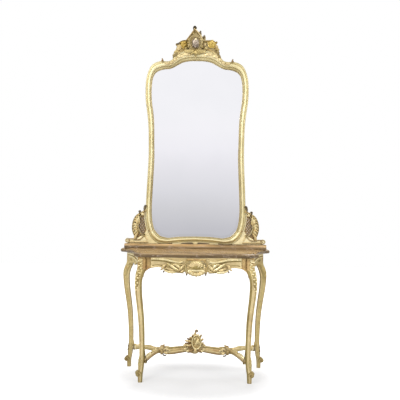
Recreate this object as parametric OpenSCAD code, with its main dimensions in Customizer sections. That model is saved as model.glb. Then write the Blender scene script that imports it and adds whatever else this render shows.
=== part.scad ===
// Giltwood console table with its tall pier mirror.
// The table stands on four cabriole legs tied by a forked stretcher and carries a shaped marble top.
// The mirror stands on a plinth at the back of the marble.
// Millimetres, +Z up, +Y towards the wall, origin on the floor under the middle of the marble top.

/* [Marble top] */
// Width of the marble across its back corners
top_w = 1050; // [1000:5:1150]
// Depth of the marble from wall to front edge
top_d = 410; // [390:5:450]
// Thickness of the marble
top_t = 28; // [22:1:36]
// Height of the marble's upper face above the floor
top_h = 834; // [810:2:880]
// Width of the front edge between its canted corners
front_w = 690; // [660:5:720]
// Width across the outer ends of the canted corners
cant_w = 804; // [780:2:830]
// How far back the canted corners reach
cant_d = 46; // [36:1:56]
// Depth of the straight ear at each back corner
ear_d = 44; // [34:1:56]
// Width of the thumb moulding worked round the edge
thumb_w = 32; // [20:1:36]

/* [Table frame] */
// Section of the square block at the head of each leg
stump_w = 50; // [46:1:54]
// Distance between the centres of the front legs at the top
front_legs_w = 696; // [680:2:708]
// Distance of the front legs' centres behind the front edge
front_leg_in = 55; // [52:1:64]
// Distance between the centres of the back legs at the top
back_legs_w = 906; // [890:2:930]
// Distance of the back legs' centres in front of the wall
back_leg_in = 40; // [32:1:48]
// Height of the aprons at the crown of their arches
apron_h = 66; // [56:1:76]
// How far the middle of the front apron hangs below its arches
apron_drop = 34; // [20:1:44]
// How far the aprons come down where they meet the legs
apron_ear = 26; // [16:1:34]
// Thickness of the side aprons
apron_t = 26; // [20:1:30]
// How far the middle of the front apron breaks forward
apron_break = 16; // [8:1:18]
// Thickness of the back rail
rail_t = 22; // [18:1:26]
// Height of the back rail
rail_h = 90; // [70:1:100]
// Length of the tenons on aprons and rail
tenon_l = 22; // [14:1:24]
// Thickness of the tenons on aprons and rail
tenon_t = 9; // [7:0.5:10]
// Height of the tenons on aprons and rail
tenon_h = 46; // [34:1:50]
// Width of each bearer under the marble
bearer_w = 42; // [30:1:60]
// Thickness of each bearer under the marble
bearer_t = 20; // [16:1:26]
// Distance from the middle to each bearer's centre
bearer_x = 165; // [140:5:200]
// Length of the short sides of the glue blocks
block_w = 22; // [16:1:24]
// How far the knee blocks reach down the front legs below the aprons
knee_block_l = 40; // [30:1:50]
// Thickness of the knee blocks
knee_block_t = 18; // [14:1:20]

/* [Legs] */
// How far the knees swing out from the heads
knee_out = 29; // [20:1:31]
// How far the ankles come back in from the heads
ankle_in = 9; // [4:1:14]
// Thickness of the legs at the knee
knee_w = 49; // [44:1:52]
// Thickness of the legs at the ankle
ankle_w = 34; // [30:1:40]
// Thickness of the foot where it meets the floor
foot_w = 27; // [22:1:32]
// Height of the scroll's eye above the floor
scroll_h = 56; // [50:1:66]
// Outside radius of the scroll on each foot
scroll_r = 19; // [14:0.5:21]

/* [Stretcher] */
// Height of the stretcher's arms where they enter the legs
arm_h = 132; // [120:1:150]
// How far the stretcher arches above that height
arm_rise = 27; // [16:1:34]
// Width of each arm
arm_w = 25; // [22:1:28]
// Depth of each arm
arm_t = 28; // [24:1:34]
// Distance from the middle to the fork where two arms join
fork_x = 226; // [200:2:240]
// Width of the block at the middle of the stretcher
hub_w = 68; // [56:2:84]
// Diameter of the dowels in the stretcher
dowel_d = 10; // [8:0.5:12]
// Length of the dowels in the stretcher
dowel_l = 40; // [30:1:44]
// Height of the carved finial on the stretcher
finial_h = 96; // [80:1:110]

/* [Mirror frame] */
// Height of the plinth that the mirror stands on
plinth_h = 32; // [24:1:40]
// Depth of the plinth from the wall
plinth_d = 72; // [66:1:84]
// Length of the plinth
plinth_w = 996; // [970:2:1020]
// Widest part of the frame, at the shoulders
shoulder_w = 730; // [700:2:760]
// Narrowest part of the frame, at the waist
waist_w = 676; // [650:2:690]
// Width of the frame above its lower corners
foot_frame_w = 706; // [690:2:730]
// Height of the frame from plinth to the top of its arch
frame_h = 1372; // [1320:2:1420]
// How far the top arch rises above the shoulders
arch_rise = 80; // [60:1:96]
// How far the middle of the frame's foot lifts off the plinth
foot_rise = 18; // [10:1:24]
// Width of the frame's face at its sides
face_w = 45; // [40:1:52]
// Thickness of the frame from front to back
frame_t = 44; // [38:1:50]
// Width of the rebate that holds the glass
rebate_w = 12; // [9:1:14]
// Depth of the rebate that holds the glass
rebate_d = 15; // [13:0.5:18]
// Thickness of the mirror glass
glass_t = 5; // [4:0.5:6]
// Width of the bevel round the mirror glass
bevel_w = 20; // [12:1:26]
// Thickness of the boards behind the glass
board_t = 8; // [6:0.5:9]
// Number of boards behind the glass
board_n = 5; // [4:1:7]
// Diameter of the dowels in the frame's joints
pin_d = 8; // [6:0.5:9]
// Length of the dowels in the frame's joints
pin_l = 50; // [40:1:60]

/* [Carving] */
// Width of the side brackets beyond the frame
bracket_w = 100; // [86:1:110]
// Height of the side brackets above the plinth
bracket_h = 270; // [230:2:300]
// Thickness of the side brackets' board
bracket_t = 22; // [16:1:26]
// Width of the bars of the brackets' lattice
lattice_w = 9; // [5:0.5:11]
// Radius of the scrolls at the ends of the plinth
end_r = 19; // [15:0.5:21]
// Height of the crest above the frame's arch
crest_h = 176; // [150:1:190]
// Half the width of the crest
crest_w = 168; // [150:1:180]
// Thickness of the crest's board
crest_t = 20; // [16:1:24]
// How far the crest's carving stands to the left of the frame's middle
crest_left = 13; // [0:1:18]
// Height of the shell on the front apron
shell_h = 104; // [90:1:114]
// Width of the shell on the front apron
shell_w = 150; // [130:2:170]

/* [Fittings] */
// Length of each hanging plate
plate_l = 66; // [60:1:80]
// Width of each hanging plate
plate_w = 20; // [18:1:24]
// Thickness of each hanging plate
plate_t = 2; // [1.5:0.25:3]
// Height of the hanging plates above the plinth
plate_z = 1080; // [1040:2:1120]
// Diameter of the keyhole in each hanging plate
hang_d = 11; // [9:0.5:12]
// Diameter of the small screws
screw_d = 3.5; // [3:0.25:4.5]
// Length of the small screws
screw_l = 16; // [12:1:18]

/* [Hidden] */

gilt = "goldenrod";
shade_gilt = "darkgoldenrod";
stone = "rosybrown";
pine = "burlywood";
brass = "gold";

seat = 0.2;      // running gap round a tenon, dowel or screw
touch = 0.3;     // gap where a curved face lies against another
wall_gap = 2;    // what lies behind the mirror stays this far off the wall
wall_y = top_d / 2;
front_y = -top_d / 2;
under_h = top_h - top_t;
flat_p = [0, 0];

// Curves and skins

function mix(a, b, t) = a + (b - a) * t;
function unit(v) = v / norm(v);
function spline_point(a, b, c, d, t) =
    0.5 * (2 * b + (c - a) * t + (2 * a - 5 * b + 4 * c - d) * t * t + (3 * b - a - 3 * c + d) * t * t * t);
function smooth(p, n) =
    let (last = len(p) - 1)
    concat([for (i = [0:last - 1]) for (k = [0:n - 1])
                spline_point(p[max(i - 1, 0)], p[i], p[i + 1], p[min(i + 2, last)], k / n)],
           [p[last]]);
function flip_x(p) = [for (i = [len(p) - 1:-1:0]) [-p[i][0], p[i][1]]];
function drop_first(p) = [for (i = [1:len(p) - 1]) p[i]];
function left_normal(a, b) = let (d = unit(b - a)) [-d[1], d[0]];
// A line moved sideways to its left, with mitred corners and square ends
function shifted(p, d) =
    let (last = len(p) - 1)
    [for (i = [0:last])
        let (n1 = left_normal(p[max(i - 1, 0)], p[max(i - 1, 0) + 1]),
             n2 = left_normal(p[min(i, last - 1)], p[min(i, last - 1) + 1]))
        p[i] + (n1 + n2) * d / (1 + n1 * n2)];

// A solid skinned over rings of equal length, each ring anticlockwise seen against the way they run
module skin(rings, closed = false) {
    n = len(rings[0]);
    m = len(rings);
    spans = closed ? m : m - 1;
    sides = [for (i = [0:spans - 1]) for (j = [0:n - 1])
                let (k = (i + 1) % m, next = (j + 1) % n, a = i * n + j, c = k * n + next)
                each [[a, k * n + j, c], [a, c, i * n + next]]];
    caps = closed ? [] : [[for (j = [0:n - 1]) j], [for (j = [n - 1:-1:0]) (m - 1) * n + j]];
    polyhedron([for (r = rings) each r], concat(sides, caps), convexity = 8);
}

// Rings for a moulding swept along a path; each knot is [x, y, z, half width, half height]
function sweep_rings(path, section, up = [0, 0, 1]) =
    let (last = len(path) - 1, at = [for (p = path) [p[0], p[1], p[2]]])
    [for (i = [0:last])
        let (t = unit(at[min(i + 1, last)] - at[max(i - 1, 0)]), n = unit(cross(up, t)), b = cross(t, n))
        [for (s = section) at[i] + n * s[0] * path[i][3] + b * s[1] * path[i][4]]];

// Points down a scroll: an even bend in the middle that tightens into a curl at each end
function scroll_heading(t, start, turn, curl_a, curl_b) =
    let (u = 2 * t - 1) start + turn * t + (u > 0 ? curl_b : -curl_a) * pow(abs(u), 4);
function scroll_line(from, start, length, turn, curl_a, curl_b, n) =
    let (step = length / n)
    [for (i = 0, p = from; i <= n;
          h = scroll_heading((i + 0.5) / n, start, turn, curl_a, curl_b),
          p = p + step * [cos(h), sin(h)],
          i = i + 1) p];

// A carved strap with a flat back, standing up from a board's face in the XZ plane towards the front
strap_section = [[1, 0], [0.8, 0.62], [0, 1], [-0.8, 0.62], [-1, 0]];
module strap(line, face_y, wide, high, taper = 0.45) {
    last = len(line) - 1;
    knots = [for (i = [0:last])
                let (e = 1 - taper * pow(abs(2 * i / last - 1), 2))
                [line[i][0], face_y, line[i][1], wide / 2 * e, high * e]];
    skin(sweep_rings(knots, strap_section, up = [0, -1, 0]));
}

// A carved boss with a flat back: an oval dome whose rim is scalloped into lobes
module boss(at, face_y, rx, rz, high, lobes = 0, deep = 0, around = 20, rows = 4, from = 0) {
    rings = [for (k = [0:rows])
                let (a = from + (86 - from) * k / rows, s = cos(a), lift = sin(a) - sin(from))
                [for (j = [0:around - 1])
                    let (t = 360 * j / around, r = s * (1 + deep * cos(lobes * t)))
                    [at[0] + rx * r * cos(t), face_y - high * lift, at[1] + rz * r * sin(t)]]];
    skin(rings);
}

// Plan of the marble and of the frame below it

half_front = [[0, front_y], [front_w * 0.28, front_y + 5], [front_w / 2, front_y + 1]];
half_side = [[cant_w / 2, front_y + cant_d], [cant_w / 2 + 5, mix(front_y + cant_d, wall_y, 0.27)],
             [mix(cant_w, top_w, 0.3) / 2, mix(front_y + cant_d, wall_y, 0.6)],
             [mix(cant_w, top_w, 0.72) / 2, mix(front_y + cant_d, wall_y, 0.8)], [top_w / 2, wall_y - ear_d]];
half_plan = concat(smooth(half_front, 4), smooth(half_side, 4), [[top_w / 2, wall_y]]);
top_plan = concat(flip_x(half_plan), drop_first(half_plan));
// Edge profile of the marble from the underside up, as shares of the thumb's width and the thickness
edge_profile = [[0.28, 0], [0.12, 0.1], [0.03, 0.28], [0, 0.46], [0.03, 0.62], [0.14, 0.78], [0.38, 0.88],
                [0.92, 0.93], [0.96, 1]];

module marble_top() {
    color(stone)
    skin([for (e = edge_profile)
            [for (p = shifted(top_plan, e[0] * thumb_w)) [p[0], p[1], under_h + e[1] * top_t]]]);
}

// Legs: each knot is [x, y, z, half width, roundness], x and y measured outwards from the head's centre

leg_turns = 16;
function leg_knots(kx, ky) =
    let (a = ankle_in / knee_out, reach = under_h - apron_h)
    [[0, 0, under_h - 15, stump_w / 2 - 2, 0.2],
     [0, 0, reach - 4, stump_w / 2 - 1, 0.12],
     [0.34 * kx, 0.34 * ky, reach - 30, mix(stump_w, knee_w, 0.4) / 2, 0.3],
     [0.8 * kx, 0.8 * ky, mix(reach, arm_h, 0.105), knee_w / 2, 0.42],
     [kx, ky, mix(reach, arm_h, 0.175), knee_w / 2 - 1, 0.46],
     [0.8 * kx, 0.8 * ky, mix(reach, arm_h, 0.3), mix(knee_w, ankle_w, 0.35) / 2, 0.5],
     [0.36 * kx, 0.36 * ky, mix(reach, arm_h, 0.44), mix(knee_w, ankle_w, 0.52) / 2, 0.55],
     [-0.12 * a * kx, -0.12 * a * ky, mix(reach, arm_h, 0.59), mix(knee_w, ankle_w, 0.68) / 2, 0.6],
     [-0.8 * a * kx, -0.8 * a * ky, mix(reach, arm_h, 0.76), mix(knee_w, ankle_w, 0.86) / 2, 0.6],
     [-a * kx, -a * ky, mix(reach, arm_h, 0.9), ankle_w / 2, 0.6],
     [-0.9 * a * kx, -0.9 * a * ky, arm_h, ankle_w / 2, 0.6],
     [-0.3 * a * kx, -0.3 * a * ky, mix(arm_h, scroll_h, 0.66), ankle_w / 2 - 1, 0.6],
     [0.3 * a * kx, 0.3 * a * ky, scroll_h, ankle_w / 2 - 1, 0.6],
     [0.42 * a * kx, 0.42 * a * ky, scroll_h * 0.45, mix(ankle_w, foot_w, 0.6) / 2, 0.55],
     [0.42 * a * kx, 0.42 * a * ky, 0, foot_w / 2, 0.5]];
// A point round a block that goes from square to round
function block_point(angle, roundness) =
    let (c = cos(angle), s = sin(angle)) mix([c, s] / max(abs(c), abs(s)), [c, s], roundness);
// The leg's carved ridge runs down its outer corner and dies out below the knee
function leg_ring(k, head, sx, sy, ridge, grow) =
    let (out = atan2(sy, sx))
    [for (j = [0:leg_turns - 1])
        let (t = 360 * j / leg_turns, p = block_point(t, k[4]), edge = max(0, cos(t - out) - 0.7) / 0.3,
             r = k[3] + grow + ridge * k[4] * edge)
        [head[0] + sx * k[0] + r * p[0], head[1] + sy * k[1] + r * p[1], k[2]]];
function leg_swing_x(back) = back ? 1 : 0.68;
function leg_swing_y(back) = back ? 0.12 : 0.78;
function leg_head(side, back) =
    back ? [side * back_legs_w / 2, wall_y - back_leg_in] : [side * front_legs_w / 2, front_y + front_leg_in];
function leg_line(back) = smooth(leg_knots(knee_out * leg_swing_x(back), knee_out * leg_swing_y(back)), 2);
// Where the leg's centre is at a height near the stretcher
function leg_centre(side, back) =
    let (h = leg_head(side, back), a = -0.9 * ankle_in)
    [h[0] + side * a * leg_swing_x(back), h[1] + (back ? 1 : -1) * a * leg_swing_y(back)];

module leg_solid(back, grow = 0, low = -1, high = 2000) {
    line = [for (k = leg_line(back)) if (k[2] > low && k[2] < high) k];
    head = leg_head(1, back);
    skin([for (i = [len(line) - 1:-1:0]) leg_ring(line[i], head, 1, back ? 1 : -1, 3, grow)]);
}

// The scroll curls outwards from the front of the foot, across the way the leg swings
function swing_angle(side, back) = atan2((back ? 1 : -1) * leg_swing_y(back), side * leg_swing_x(back));
module leg_stump(back) {
    head = leg_head(1, back);
    translate([head[0] - stump_w / 2, head[1] - stump_w / 2, arch_z - 4])
    cube([stump_w, stump_w, apron_h + 4]);
}

module foot_scroll(back) {
    head = leg_head(1, back);
    x = head[0] + 0.3 * ankle_in * leg_swing_x(back);
    y = head[1] + (back ? 0.3 : -0.3) * ankle_in * leg_swing_y(back);
    translate([x, y, scroll_h])
    rotate([0, 0, swing_angle(1, back)])
    translate([ankle_w / 2 - 1, 0, 0])
    rotate([90, 0, 0]) {
        cylinder(r = scroll_r, h = ankle_w - 4, center = true, $fn = 40);
        cylinder(r = scroll_r * 0.72, h = ankle_w, center = true, $fn = 40);
        cylinder(r = scroll_r * 0.34, h = ankle_w + 6, center = true, $fn = 24);
    }
}

module leg(side, back) {
    color(gilt)
    mirror([side < 0 ? 1 : 0, 0, 0])
    difference() {
        union() {
            leg_solid(back);
            leg_stump(back);
            foot_scroll(back);
        }
        if (back) {
            rail_tenon(1, seat);
        } else {
            front_tenon(1, seat);
        }
        side_tenon(1, back, seat);
        arm_dowel(back, seat);
    }
}

// Aprons and back rail

stump_front_x = front_legs_w / 2 - stump_w / 2;              // inner face of a front leg's head
stump_front_y = front_y + front_leg_in + stump_w / 2;        // back face of a front leg's head
stump_back_x = back_legs_w / 2 - stump_w / 2;                // inner face of a back leg's head
stump_back_y = wall_y - back_leg_in - stump_w / 2;           // front face of a back leg's head
apron_back_y = front_y + front_leg_in;                       // flat back of the front apron
tenon_z = under_h - (apron_h + tenon_h) / 2;                 // underside of every tenon
arch_z = under_h - apron_h;

// Section of an apron as [out, up], with a cornice bead at the top and a bead on the lower edge
function apron_ring(out, back, low) =
    [[out + 3, low], [back, low], [back, under_h], [out + 6, under_h], [out + 6, under_h - 7],
     [out, under_h - 14], [out, low + 12], [out + 3, low + 8]];

front_break_x = stump_front_x - 34;
// Plan of the front apron's face as [distance from the middle, how far it stands forward]
front_face = [[0, stump_w / 2 + apron_break - 6], [front_break_x * 0.5, stump_w / 2 + apron_break - 7],
              [front_break_x, stump_w / 2 + apron_break - 7]];
front_return = [[front_break_x + 3, stump_w / 2 - 2], [stump_front_x, stump_w / 2 - 4]];
// Lower edge of the front apron as [distance from the middle, height below the marble]
front_edge = [[0, apron_h + apron_drop], [0.17, apron_h + apron_drop * 0.8],
              [0.34, apron_h + apron_drop * 0.68], [0.5, apron_h + apron_drop * 0.5], [0.62, apron_h + 4],
              [0.76, apron_h - 2], [0.9, apron_h + 5], [1, apron_h + apron_ear]];
function reach_at(x, list) =
    let (i = max([for (k = [0:len(list) - 2]) list[k][0] <= x ? k : 0]), a = list[i], b = list[i + 1])
    mix(a[1], b[1], min(1, max(0, (x - a[0]) / (b[0] - a[0]))));
front_edge_line = smooth(front_edge, 3);
front_stations = concat([for (i = [0:11]) front_break_x * i / 11], [front_break_x + 3],
                        [for (i = [1:3]) mix(front_break_x + 3, stump_front_x, i / 3)]);
front_plan = concat(smooth(front_face, 6), front_return);
function front_ring(x) =
    let (low = under_h - reach_at(abs(x) / stump_front_x, front_edge_line))
    [for (p = apron_ring(reach_at(abs(x), front_plan), 0, low)) [x, apron_back_y - p[0], p[1]]];

module front_tenon(side, grow = 0) {
    x0 = side > 0 ? stump_front_x - 6 : -stump_front_x - tenon_l;
    translate([x0 - (grow > 0 ? grow : 0), apron_back_y - 1 - tenon_t - grow, tenon_z - grow])
    cube([tenon_l + 6 + 2 * grow, tenon_t + 2 * grow, tenon_h + 2 * grow]);
}

module front_apron() {
    color(gilt)
    difference() {
        union() {
            skin([for (i = [1 - len(front_stations):len(front_stations) - 1])
                    front_ring(sign(i) * front_stations[abs(i)])]);
            front_tenon(-1);
            front_tenon(1);
        }
        cross_bearer(-1, seat);
        cross_bearer(1, seat);
        shell_peg(0, shell_z, seat);
        for (side = [-1, 1])
            shell_peg(spray_peg(side)[0], spray_peg(side)[1], seat);
    }
}

// Side aprons: outer face between the heads, as [x, y]
side_face = [[front_legs_w / 2 + stump_w / 2 - 6, stump_front_y],
             [mix(stump_front_x, stump_back_x, 0.16) + stump_w - 10, mix(stump_front_y, stump_back_y, 0.34)],
             [mix(stump_front_x, stump_back_x, 0.52) + stump_w - 10, mix(stump_front_y, stump_back_y, 0.7)],
             [back_legs_w / 2 + stump_w / 2 - 6, stump_back_y]];
side_line = smooth(side_face, 4);
side_edge = smooth([[0, apron_h + apron_ear], [0.12, apron_h + 5], [0.35, apron_h - 2], [0.65, apron_h - 2],
                    [0.88, apron_h + 5], [1, apron_h + apron_ear]], 2);
function side_share(y) = (y - stump_front_y) / (stump_back_y - stump_front_y);
function side_ring(p, side) =
    let (low = under_h - reach_at(side_share(p[1]), side_edge), r = apron_ring(apron_t, 0, low))
    [for (q = r) [p[0] - apron_t + q[0] - (q[0] > apron_t + 4 ? 2 : 0), p[1], q[1]]];

// The tenon of a side apron runs straight back or forwards into a leg's head
module side_tenon(side, back, grow = 0) {
    face = back ? side_face[3] : side_face[0];
    x0 = face[0] - apron_t * 0.5 - tenon_t / 2;
    y0 = back ? stump_back_y - 6 : stump_front_y - tenon_l;
    translate([side > 0 ? x0 - grow : -x0 - tenon_t - grow, y0 - grow, tenon_z - grow])
    cube([tenon_t + 2 * grow, tenon_l + 6 + 2 * grow, tenon_h + 2 * grow]);
}

module side_apron(side) {
    color(gilt)
    union() {
        mirror([side < 0 ? 1 : 0, 0, 0])
        skin([for (p = side_line) side_ring(p, 1)]);
        side_tenon(side, false);
        side_tenon(side, true);
    }
}

rail_y = wall_y - back_leg_in + stump_w / 2 - rail_t - 2;    // front face of the back rail
module rail_tenon(side, grow = 0) {
    x0 = side > 0 ? stump_back_x - 6 : -stump_back_x - tenon_l;
    translate([x0 - grow, rail_y + rail_t / 2 - tenon_t / 2 - grow, tenon_z - grow])
    cube([tenon_l + 6 + 2 * grow, tenon_t + 2 * grow, tenon_h + 2 * grow]);
}

module back_rail() {
    color(pine)
    difference() {
        union() {
            translate([-stump_back_x, rail_y, under_h - rail_h])
            cube([2 * stump_back_x, rail_t, rail_h]);
            rail_tenon(-1);
            rail_tenon(1);
        }
        cross_bearer(-1, seat);
        cross_bearer(1, seat);
    }
}

// A bearer is let into the back of the front apron and the front of the back rail
bearer_in = 6;
module cross_bearer(side, grow = 0) {
    run = rail_y - apron_back_y + 2 * bearer_in;
    x = side * bearer_x - bearer_w / 2;
    translate([x - grow, apron_back_y - bearer_in - grow, under_h - bearer_t - grow])
    cube([bearer_w + 2 * grow, run + 2 * grow, bearer_t + (grow > 0 ? 1 : 0) + grow]);
}

module cross_bearers() {
    color(pine)
    for (side = [-1, 1])
        cross_bearer(side);
}

// Triangular blocks glued into the corners between the heads and the boards
module glue_blocks() {
    color(pine)
    for (side = [-1, 1]) {
        translate([side * stump_front_x, apron_back_y, under_h - apron_h])
        linear_extrude(apron_h - 8)
        polygon([flat_p, [-side * block_w, 0], [0, block_w]]);
        translate([side * stump_back_x, rail_y, under_h - apron_h])
        linear_extrude(apron_h - 8)
        polygon([flat_p, [-side * block_w, 0], [0, -block_w]]);
    }
}

// Knee blocks carry the curve of the aprons' lower edges on into the front legs
leg_in_x = [for (i = [1:len(leg_line(false)) - 1])
               let (k = leg_line(false)[len(leg_line(false)) - 1 - i]) [k[2], k[0] - k[3]]];
leg_in_y = [for (i = [1:len(leg_line(false)) - 1])
               let (k = leg_line(false)[len(leg_line(false)) - 1 - i]) [k[2], k[1] - k[3]]];
knee_block_z = under_h - apron_h - apron_ear;                // where an apron's end stops
module knee_block_shape(reach) {
    top = apron_ear - 4 - touch;
    linear_extrude(knee_block_t)
    polygon(concat([[0, top]],
                   smooth([[0, 0], [reach * 0.58, -knee_block_l * 0.38], [reach * 0.86, -knee_block_l * 0.7],
                           [reach, -knee_block_l]], 3),
                   [[reach + stump_w * 0.6, -knee_block_l], [reach + stump_w * 0.6, top]]));
}

module knee_blocks() {
    low = knee_block_z - knee_block_l;
    across = stump_w / 2 + reach_at(low, leg_in_x) - 2.5;
    along = stump_w / 2 + reach_at(low, leg_in_y) - 2.5;
    color(gilt)
    for (side = [-1, 1])
        mirror([side < 0 ? 1 : 0, 0, 0])
        difference() {
            union() {
                translate([stump_front_x, apron_back_y, knee_block_z])
                rotate([90, 0, 0])
                knee_block_shape(across);
                translate([side_face[0][0] - 4, stump_front_y, knee_block_z])
                rotate([90, 0, -90])
                knee_block_shape(along);
            }
            leg_solid(false, touch, 400, under_h - 10);
        }
}

// Stretcher

hub_y = (leg_centre(1, true)[1] + leg_centre(1, false)[1]) / 2;
fork_z = arm_h + arm_rise;
arm_section = [[1, -0.6], [1, 0.6], [0.55, 1], [-0.55, 1], [-1, 0.6], [-1, -0.6], [-0.55, -1], [0.55, -1]];

// Bend of an arm from leg to fork, as shares of its run sideways, of its run in depth and of its rise
arm_bend = [[1, 1, 0], [0.82, 0.9, 0.2], [0.56, 0.58, 0.75], [0.3, 0.2, 1], [0.14, 0.015, 1], [0.06, 0, 1],
            [-0.08, 0, 1]];
function arm_path(back) =
    let (c = leg_centre(1, back), lane = hub_y + (back ? 1 : -1) * (arm_w + touch) / 2)
    smooth([for (k = arm_bend)
              [mix(fork_x, c[0], k[0]), mix(lane, c[1], k[1]), arm_h + arm_rise * k[2],
               arm_w / 2, arm_t / 2 * (1 + 0.85 * max(0, 0.3 - k[0]))]], 2);

// Dowel along the arm's first stretch, half in the leg and half in the arm
function arm_heading(back) = let (p = arm_path(back), d = p[1] - p[0]) unit([d[0], d[1], d[2]]);
module arm_dowel(back, grow = 0) {
    c = leg_centre(1, back);
    d = arm_heading(back);
    start = ankle_w / 2 - 8;
    translate([c[0], c[1], arm_h] + d * (start - grow))
    rotate([0, acos(d[2]), atan2(d[1], d[0])])
    cylinder(d = dowel_d + 2 * grow, h = dowel_l + 2 * grow, $fn = 32);
}

module arm(side, back) {
    path = arm_path(back);
    color(shade_gilt)
    mirror([side < 0 ? 1 : 0, 0, 0])
    difference() {
        skin(sweep_rings([for (i = [len(path) - 1:-1:0]) path[i]], arm_section));
        leg_solid(back, touch, arm_h - 36, arm_h + 40);
        arm_dowel(back, seat);
        fork_dowel(1, back, seat);
        translate([fork_x - 40, -top_d / 2, 0])
        cube([40, top_d, arm_h + arm_rise + arm_t]);
    }
}

// Two rolls side by side with a groove between them
rail_section = [[1, -0.5], [1, 0.5], [0.7, 1], [0.25, 0.95], [0, 0.72], [-0.25, 0.95], [-0.7, 1], [-1, 0.5],
                [-1, -0.5], [-0.5, -1], [0.5, -1]];
hub_z = fork_z + 15;
module stretcher_rail(side) {
    w = arm_w + touch / 2;
    half = hub_w / 2;
    knots = [[half - 8, hub_y, hub_z, w * 0.8, arm_t * 0.7],
             [half + 10, hub_y, hub_z - 1, w * 0.8, arm_t * 0.7],
             [mix(half, fork_x, 0.35), hub_y, fork_z + 5, w * 0.88, arm_t * 0.75],
             [mix(half, fork_x, 0.68), hub_y, fork_z - 3, w * 0.97, arm_t * 0.8],
             [mix(half, fork_x, 0.9), hub_y, fork_z - 1, w, arm_t * 0.7],
             [fork_x + 8, hub_y, fork_z, w, arm_t * 0.68]];
    color(shade_gilt)
    mirror([side < 0 ? 1 : 0, 0, 0])
    difference() {
        skin(sweep_rings(smooth(knots, 3), rail_section));
        translate([half - 60, hub_y - 60, 0])
        cube([60, 120, fork_z + 90]);
        translate([fork_x, hub_y - 60, 0])
        cube([20, 120, fork_z + 90]);
        hub_dowel(1, seat);
        for (back = [false, true])
            fork_dowel(1, back, seat);
    }
}

module hub_dowel(side, grow = 0) {
    translate([side * hub_w / 2, hub_y, hub_z])
    rotate([0, 90, 0])
    cylinder(d = dowel_d + 2 * grow, h = dowel_l * 0.8 + 2 * grow, center = true, $fn = 32);
}

module fork_dowel(side, back, grow = 0) {
    translate([side * fork_x, hub_y + (back ? 1 : -1) * (arm_w / 2 + touch / 2), fork_z])
    rotate([0, 90, 0])
    cylinder(d = dowel_d * 0.8 + 2 * grow, h = dowel_l * 0.8 + 2 * grow, center = true, $fn = 32);
}

module stretcher_hub() {
    half = hub_w / 2;
    w = arm_w * 0.9;
    knots = [[-half, hub_y, hub_z, w, arm_t * 0.74], [-half * 0.5, hub_y, hub_z, w * 1.12, arm_t * 0.76],
             [0, hub_y, hub_z, w * 1.18, arm_t * 0.78], [half * 0.5, hub_y, hub_z, w * 1.12, arm_t * 0.76],
             [half, hub_y, hub_z, w, arm_t * 0.74]];
    color(shade_gilt)
    difference() {
        skin(sweep_rings(smooth(knots, 2), arm_section));
        hub_dowel(-1, seat);
        hub_dowel(1, seat);
        finial_peg(seat);
    }
}

hub_top = hub_z + arm_t * 0.78;
module finial_peg(grow = 0) {
    translate([0, hub_y, hub_top - 16 - grow])
    cylinder(d = dowel_d + 2 * grow, h = 22 + 2 * grow, $fn = 32);
}

module stretcher_dowels() {
    color(pine) {
        for (side = [-1, 1])
            for (back = [false, true]) {
                mirror([side < 0 ? 1 : 0, 0, 0])
                arm_dowel(back);
                fork_dowel(side, back);
            }
        hub_dowel(-1);
        hub_dowel(1);
    }
}

// The finial: an oval cartouche in a ruffled frame, with a shell wing on one side and a scroll on the other
finial_front = hub_y - arm_w * 1.062 - touch;
finial_t = 13;
finial_plate = [[0, -52], [14, -50], [28, -40], [42, -44], [56, -34], [62, -22], [60, -6], [50, 4],
                [58, 18], [52, 34], [40, 36], [32, 52], [20, 62], [22, 76], [14, 90], [4, 96], [-4, 92],
                [-4, 78], [-14, 70], [-30, 62], [-36, 48], [-50, 46], [-50, 30], [-64, 24], [-60, 8],
                [-70, -4], [-62, -20], [-66, -30], [-46, -36], [-30, -42], [-16, -50]];
module stretcher_finial() {
    k = finial_h / 96;
    mid = hub_top + finial_h * 0.28;
    color(gilt)
    union() {
        translate([0, finial_front, hub_top])
        rotate([90, 0, 0])
        linear_extrude(finial_t)
        polygon([for (p = finial_plate) p * k]);
        translate([-26 * k, finial_front - 1, hub_top + touch])
        cube([52 * k, 2 * (hub_y - finial_front) * 0.9, 40 * k]);
        boss([0, mid], finial_front - finial_t + 1, 26 * k, 38 * k, 16, around = 16, rows = 3);
        for (i = [0:4])
            strap([for (p = [[-27, 22 - i * 15], [-44, 26 - i * 17], [-56, 20 - i * 16]])
                      [(p[0] - i * 2) * k, mid + p[1] * k]], finial_front - finial_t + 1, 9, 8);
        strap(scroll_line([34 * k, mid + 22 * k], -56, 84 * k, -50, 60, 150, 10),
              finial_front - finial_t + 1, 11, 9);
        strap(scroll_line([-8 * k, mid + 42 * k], 100, 52 * k, -60, 0, 200, 8),
              finial_front - finial_t + 1, 10, 9);
        finial_peg(0);
    }
}

// Leafy collars over the joints at the forks, set a little towards the hub
husk_w = 26;
module husk(side) {
    at = side * (fork_x - 4) - husk_w / 2;
    wide = arm_w + 1.5 * touch;
    high = arm_t * 0.71 + touch;
    section = [for (a = [0:15:345])
                let (p = block_point(a, 0.35), r = 1 + 0.06 * cos(6 * a))
                [p[0] * (wide + 7) * r, p[1] * (high + 8) * r]];
    color(gilt)
    difference() {
        translate([at, hub_y, fork_z])
        rotate([90, 0, 90])
        linear_extrude(husk_w)
        polygon(section);
        translate([at - 1, hub_y - wide, fork_z - high])
        cube([husk_w + 2, 2 * wide, 2 * high]);
    }
}

// Carving on the front apron: a shell at the middle and a spray of leaves to each side

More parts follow.
